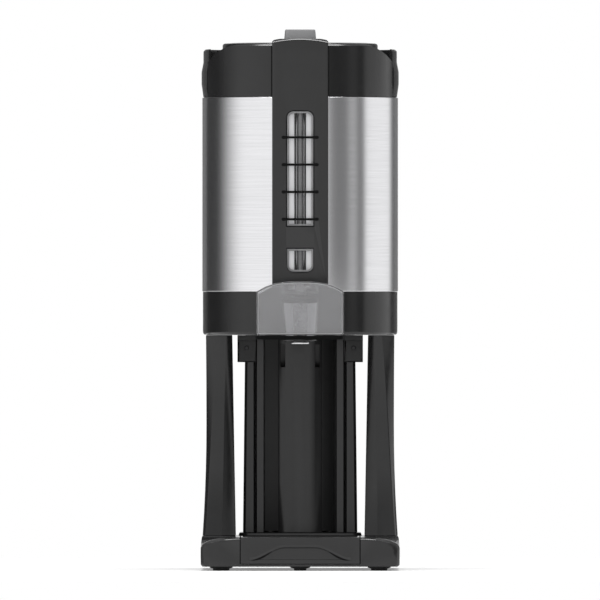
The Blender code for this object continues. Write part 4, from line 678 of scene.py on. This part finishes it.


# A thin raised bead round the lever's front face, lighter as a painted highlight, with a dark edge outside it
# that is painted shade, and a short rib in its top that is lighter as a painted highlight
def makeLeverBead(name, inset, width, proud, material):
    look = {"inset": inset, "width": width, "proud": proud, "flat": 0.7, "reach": 0.002}
    bead = copyOfNode(name, "dispense_lever")
    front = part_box("dispense_lever")[0].y
    startEdit(bead, "FACE")
    pick(bead, "FACE", lambda face: face.normal.y > -look["flat"] or middleOf(face).y > front + look["reach"])
    bpy.ops.mesh.delete(type="FACE")
    bpy.ops.mesh.select_all(action="SELECT")
    bpy.ops.mesh.inset(thickness=look["inset"], depth=0.0)
    bpy.ops.mesh.select_all(action="INVERT")
    bpy.ops.mesh.delete(type="FACE")
    bpy.ops.mesh.select_all(action="SELECT")
    bpy.ops.mesh.inset(thickness=look["width"], depth=0.0)
    bpy.ops.mesh.delete(type="FACE")
    leaveEdit()
    wall = bead.modifiers.new("wall", "SOLIDIFY")
    wall.thickness = 2 * look["proud"]
    wall.offset = 0.0
    finishModifiers(bead)
    tidyNormals(bead)
    dress(bead, material)
    goWith(bead, "dispense_lever")


def makeLeverRib():
    look = {"half": 0.0043, "low": 0.3166, "high": 0.3262, "front": 0.0028, "back": 0.0032, "round": 0.0012}
    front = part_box("dispense_lever")[0].y
    outline = roundedOutline(-look["half"], look["half"], look["low"], look["high"],
                             look["round"], look["round"], 4)
    rib = slabPiece("leverRib", outline, front + look["front"], front + look["back"])
    dress(rib, paintedHighlightSmoke)
    goWith(rib, "dispense_lever")


def makeSpoutTip():
    look = {"outer": 0.01045, "inner": 0.0081, "low": 0.2569, "high": 0.2588, "edge": 0.0007}
    low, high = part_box("spout_ring")
    middle = ((low.x + high.x) / 2, (low.y + high.y) / 2)
    profile = [(look["inner"], look["low"]), (look["outer"] - look["edge"], look["low"]),
               (look["outer"], look["low"] + look["edge"]), (look["outer"], look["high"]),
               (look["inner"], look["high"])]
    tip = turnedPiece("spoutTip", profile, middle, 48)
    smooth(tip, 50)
    goWith(tip, "faucet_body", "plain_steel")


# The valve's coil spring under the bonnet, made at the length of the node's box
def makeValveSpring():
    look = {"wire": 0.00055, "radius": 0.0053, "turns": 7, "steps": 24, "sides": 10, "lift": 0.0050}
    low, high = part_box("valve_spring")
    tall = high.z - low.z
    bpy.ops.object.select_all(action="DESELECT")
    bpy.ops.mesh.primitive_circle_add(vertices=look["sides"], radius=look["wire"], rotation=(pi / 2, 0, 0))
    spring = bpy.context.active_object
    spring.name = "valveSpring"
    bpy.ops.object.transform_apply(location=True, rotation=True, scale=True)
    startEdit(spring)
    bpy.ops.transform.translate(value=(look["radius"], 0, 0))
    leaveEdit()
    coil = spring.modifiers.new("coil", "SCREW")
    coil.steps = look["steps"]
    coil.render_steps = look["steps"]
    coil.iterations = look["turns"]
    coil.screw_offset = (tall - 2 * look["wire"]) / look["turns"]
    finishModifiers(spring)
    startEdit(spring)
    bpy.ops.mesh.fill_holes(sides=0)
    bpy.ops.mesh.select_all(action="SELECT")
    bpy.ops.transform.translate(value=(0, (low.y + high.y) / 2, low.z + look["wire"]))
    leaveEdit()
    tidyNormals(spring)
    smooth(spring, 60)
    standFor(spring, "valve_spring")
    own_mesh(spring)


makeLeverRim()
makeValveSpring()
makeLeverBead("leverPaintedShadeEdge", 0.0001, 0.0007, 0.0003, paintedShadeBlack)
makeLeverBead("leverBead", 0.0009, 0.0008, 0.0005, paintedHighlightSmoke)
makeLeverRib()
makeSpoutTip()


# Seams of painted shade beside the spine's top, a lip round the tray's finger scoop, and other small
# mouldings

# Each seam is a deep black strip standing a little proud of the collar: painted shade in the gap between
# collar and spine
def makeSpineSeams():
    look = {"near": 0.0321, "far": 0.0330, "low": 0.5390, "high": 0.5965, "proud": 0.00045, "depth": 0.0010}
    radius = bodyMiddle.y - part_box("top_collar")[0].y
    front = bodyMiddle.y - sqrt(radius ** 2 - look["far"] ** 2)
    for side, label in ((-1, "left"), (1, "right")):
        span = sorted((side * look["near"], side * look["far"]))
        outline = roundedOutline(span[0], span[1], look["low"], look["high"], 0.0, 0.0)
        seam = slabPiece(label + "SpineSeam", outline, front - look["proud"], front + look["depth"])
        dress(seam, paintedShadeBlack)
        goWith(seam, "spine", "dark_plastic")


# A chamfer strip along the crowned top edge of the spine
def makeSpineCrown():
    look = {"half": 0.0312, "top": 0.6041, "drop": 0.0033, "width": 0.0010, "wall": 0.0003, "steps": 20}
    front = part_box("spine")[0].y - 0.0002
    points = []
    for step in range(look["steps"] + 1):
        share = 2 * step / look["steps"] - 1
        points.append((look["half"] * share, front, look["top"] - look["width"] - look["drop"] * share ** 2))
    crown = openPath("spineCrown", points)
    bpy.ops.mesh.extrude_edges_move(TRANSFORM_OT_translate={"value": (0, look["width"], look["width"])})
    bpy.ops.mesh.select_all(action="SELECT")
    bpy.ops.mesh.normals_make_consistent(inside=False)
    leaveEdit()
    wall = crown.modifiers.new("wall", "SOLIDIFY")
    wall.thickness = look["wall"]
    wall.offset = 0.0
    finishModifiers(crown)
    tidyNormals(crown)
    smooth(crown, 30)
    goWith(crown, "spine")


# The scoop's arch is smooth, with a soft foot at each side
def scoopArch(grow):
    look = {"half": 0.0575, "low": 0.0122, "high": 0.0266, "full": 0.72, "power": 1.85, "steps": 40}
    points = []
    for step in range(look["steps"] + 1):
        across = look["half"] * (1 - 2 * step / look["steps"])
        share = min((1 - abs(across) / look["half"]) / look["full"], 1.0)
        rise = sin(share * pi / 2) ** look["power"]
        points.append((across, look["low"] + (look["high"] - look["low"]) * rise + grow))
    return points


def makeScoop():
    look = {"lip": 0.0030, "proud": 0.0002, "wall": 0.0008, "inset": 0.0026, "depth": 0.0009,
            "start": 0.0003, "overlap": 0.0008}
    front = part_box("drip_tray")[0].y
    arch = scoopArch(0.0)
    lip = slabPiece("scoopLip", scoopArch(look["lip"]) + list(reversed(arch)),
                    front - look["proud"], front + look["depth"])
    goWith(lip, "drip_tray")
    low = arch[0][1]
    high = max(height for across, height in arch)
    slope = look["inset"] / (high - low)
    points = [(across, front + look["start"] + slope * (height - low), height)
              for across, height in scoopArch(look["overlap"])]
    panel = outlinePiece("scoopPanel", points)
    wall = panel.modifiers.new("wall", "SOLIDIFY")
    wall.thickness = look["wall"]
    wall.offset = 0.0
    finishModifiers(panel)
    tidyNormals(panel)
    goWith(panel, "drip_tray")
    makeScoopShades(front, arch)


# A dark sliver under each foot of the arch: painted shadow of the curved recess
def makeScoopShades(front, arch):
    look = {"near": 0.0300, "thick": 0.0022, "least": 0.0001, "proud": 0.0004, "depth": 0.0004}
    for side, label in ((-1, "left"), (1, "right")):
        upper = [(across, height) for across, height in arch if across * side >= look["near"]]
        lower = []
        for index, (across, height) in enumerate(upper):
            dip = look["thick"] * sin(pi * index / (len(upper) - 1))
            if dip > look["least"]:
                lower.append((across, height - dip))
        shade = slabPiece(label + "ScoopShade", upper + list(reversed(lower)),
                          front - look["proud"], front + look["depth"])
        dress(shade, paintedShadeBlack)
        goWith(shade, "drip_tray", "dark_plastic")


# A slanted panel of dark plastic closes each deep flute of the column; its darkness is painted shade for the
# flute's deep shade
def makeFlutePanels():
    look = {"near": 0.0252, "far": 0.0404, "depth": 0.0303, "slope": 0.49, "wall": 0.0008,
            "low": 0.0435, "high": 0.2665}
    for side, label in ((-1, "left"), (1, "right")):
        inner = (side * look["near"], look["depth"])
        outer = (side * look["far"], look["depth"] + side * look["slope"] * (look["far"] - look["near"]))
        points = [(inner[0], inner[1], look["low"]), (outer[0], outer[1], look["low"]),
                  (outer[0], outer[1], look["high"]), (inner[0], inner[1], look["high"])]
        panel = outlinePiece(label + "FlutePanel", points)
        wall = panel.modifiers.new("wall", "SOLIDIFY")
        wall.thickness = look["wall"]
        wall.offset = 0.0
        finishModifiers(panel)
        tidyNormals(panel)
        roundEdges(panel, fineEdge, 2, cornerTurn)
        goWith(panel, "rear_column", "dark_plastic")


# Two low rings moulded on the lid
def makeLidRings():
    look = {"radii": (0.0560, 0.0785), "half": 0.0008, "rise": 0.0004, "sink": 0.0003}
    low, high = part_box("lid_cover")
    middle = (bodyMiddle.x, bodyMiddle.y)
    for radius, label in zip(look["radii"], ("inner", "outer")):
        profile = [(radius - look["half"], high.z - look["sink"])]
        for step in range(9):
            angle = pi * step / 8
            profile.append((radius - look["half"] * cos(angle), high.z + look["rise"] * sin(angle)))
        profile.append((radius + look["half"], high.z - look["sink"]))
        ring = turnedPiece(label + "LidRing", profile, middle, 96)
        smooth(ring, 40)
        goWith(ring, "lid_cover")


makeSpineSeams()
makeLidRings()
makeSpineCrown()
makeScoop()
makeFlutePanels()


# Pockets behind the column's two hook slots, in dark plastic: painted shade inside the slots, beside the real
# shade of their walls

def makeSlotPockets():
    look = {"middle": 0.0197, "half": 0.0034, "low": 0.2285, "high": 0.2585, "front": 0.0290, "back": 0.0400,
            "slant": 0.0080, "wall": 0.0008}
    for side, label in ((-1, "left"), (1, "right")):
        outline = [(look["front"], look["low"]), (look["back"], look["low"]),
                   (look["back"] - look["slant"], look["high"]), (look["front"], look["high"])]
        across = side * look["middle"] - look["half"]
        pocket = outlinePiece(label + "SlotPocket", [(across, depth, height) for depth, height in outline])
        startEdit(pocket)
        bpy.ops.mesh.extrude_region_move(TRANSFORM_OT_translate={"value": (2 * look["half"], 0, 0)})
        leaveEdit()
        tidyNormals(pocket)
        startEdit(pocket, "FACE")
        pick(pocket, "FACE", lambda face: face.normal.y < -0.9)
        bpy.ops.mesh.delete(type="ONLY_FACE")
        leaveEdit()
        wall = pocket.modifiers.new("wall", "SOLIDIFY")
        wall.thickness = look["wall"]
        wall.offset = 1.0
        finishModifiers(pocket)
        roundEdges(pocket, fineEdge, 1, cornerTurn)
        goWith(pocket, "rear_column", "dark_plastic")


makeSlotPockets()


# Camera, floor and light

def setCamera():
    view = {"lens": 1500.0, "sensor": 36.0, "distance": 28.535, "across": -0.0002, "height": 0.3073}
    data = bpy.data.cameras.new("photoCamera")
    data.lens = view["lens"]
    data.sensor_width = view["sensor"]
    data.clip_start = 1.0
    data.clip_end = 200.0
    camera = bpy.data.objects.new("photoCamera", data)
    bpy.context.scene.collection.objects.link(camera)
    camera.location = (view["across"], -view["distance"], view["height"])
    camera.rotation_euler = (radians(90), 0.0, 0.0)
    bpy.context.scene.camera = camera


# Is this ray from the camera, or a mirror or see-through ray on its way to the background
def backgroundRays(tree, kinds):
    path = tree.nodes.new("ShaderNodeLightPath")
    seen = path.outputs[kinds[0]]
    for kind in kinds[1:]:
        either = tree.nodes.new("ShaderNodeMath")
        either.operation = "MAXIMUM"
        tree.links.new(seen, either.inputs[0])
        tree.links.new(path.outputs[kind], either.inputs[1])
        seen = either.outputs["Value"]
    return seen


def makeFloor():
    look = {"radius": 1.3, "tone": 0.80, "lift": 0.25}
    bpy.ops.object.select_all(action="DESELECT")
    bpy.ops.mesh.primitive_circle_add(vertices=96, radius=look["radius"], fill_type="NGON")
    floor = bpy.context.active_object
    floor.name = "studioFloor"
    material, tree, shader = newFinish("paleFloor", Roughness=0.9, Specular_IOR_Level=0.0)
    shader.inputs["Base Color"].default_value = (look["tone"], look["tone"], look["tone"], 1.0)
    shader.inputs["Emission Color"].default_value = (1.0, 1.0, 1.0, 1.0)
    seen = backgroundRays(tree, ["Is Camera Ray", "Is Glossy Ray", "Is Transmission Ray"])
    tree.links.new(addRange(tree, seen, 0.0, look["lift"], 0.0, 1.0), shader.inputs["Emission Strength"])
    dress(floor, material)


# The studio is a bright tent with dark and grey cards standing round the object. Each card has its two
# edges, in degrees from the front towards the right, and its level; the light turns softly between cards
tentCards = [
    ("behind, left", -180, -176, 1.00),
    ("left edge", -170, -150, 0.19),
    ("left flag", -141, -117, 0.045),
    ("front", -68, 14, 1.00),
    ("right flag", 43, 57, 0.185),
    ("strip light", 61, 69, 0.45),
    ("narrow flag", 74, 80, 0.12),
    ("right side", 85, 128, 0.96),
    ("right edge", 140, 146, 0.12),
    ("back card", 152, 168, 0.19),
    ("behind, right", 175, 180, 1.00),
]


def setStudio():
    look = {"above": 0.60, "aboveFrom": 0.50, "aboveTo": 0.80}
    world = bpy.data.worlds.new("studio")
    bpy.context.scene.world = world
    world.use_nodes = True
    tree = world.node_tree
    place = tree.nodes.new("ShaderNodeTexCoord")
    parts = tree.nodes.new("ShaderNodeSeparateXYZ")
    tree.links.new(place.outputs["Generated"], parts.inputs["Vector"])
    ahead = tree.nodes.new("ShaderNodeMath")
    ahead.operation = "MULTIPLY"
    ahead.inputs[1].default_value = -1.0
    tree.links.new(parts.outputs["Y"], ahead.inputs[0])
    turn = tree.nodes.new("ShaderNodeMath")
    turn.operation = "ARCTAN2"
    tree.links.new(parts.outputs["X"], turn.inputs[0])
    tree.links.new(ahead.outputs["Value"], turn.inputs[1])
    ramp = tree.nodes.new("ShaderNodeValToRGB")
    ramp.color_ramp.interpolation = "EASE"
    stops = ramp.color_ramp.elements
    edges = [(angle, level) for name, start, end, level in tentCards for angle in (start, end)]
    for index, (angle, level) in enumerate(edges):
        position = (angle + 180) / 360
        stop = stops[index] if index < 2 else stops.new(position)
        stop.position = position
        stop.color = (level, level, level, 1.0)
    tree.links.new(addRange(tree, turn.outputs["Value"], 0.0, 1.0, -pi, pi), ramp.inputs["Fac"])
    height = addRange(tree, parts.outputs["Z"], 0.0, 1.0, look["aboveFrom"], look["aboveTo"])
    tent = addBlend(tree, height, ramp.outputs["Color"], (look["above"],) * 3)
    seen = backgroundRays(tree, ["Is Camera Ray", "Is Transmission Ray"])
    tree.links.new(addBlend(tree, seen, tent, (1.0, 1.0, 1.0)), tree.nodes["Background"].inputs["Color"])


# One soft lamp straight above draws the thin light lines along the top edges
def hangLamp():
    look = {"width": 1.9, "depth": 0.8, "height": 2.6, "power": 44.0}
    data = bpy.data.lights.new("topLamp", "AREA")
    data.shape = "RECTANGLE"
    data.size = look["width"]
    data.size_y = look["depth"]
    data.energy = look["power"]
    lamp = bpy.data.objects.new("topLamp", data)
    bpy.context.scene.collection.objects.link(lamp)
    lamp.location = (0.0, 0.0, look["height"])


setCamera()
makeFloor()
setStudio()
hangLamp()
bpy.context.scene.view_settings.view_transform = "Standard"
print("camera, floor and light set")
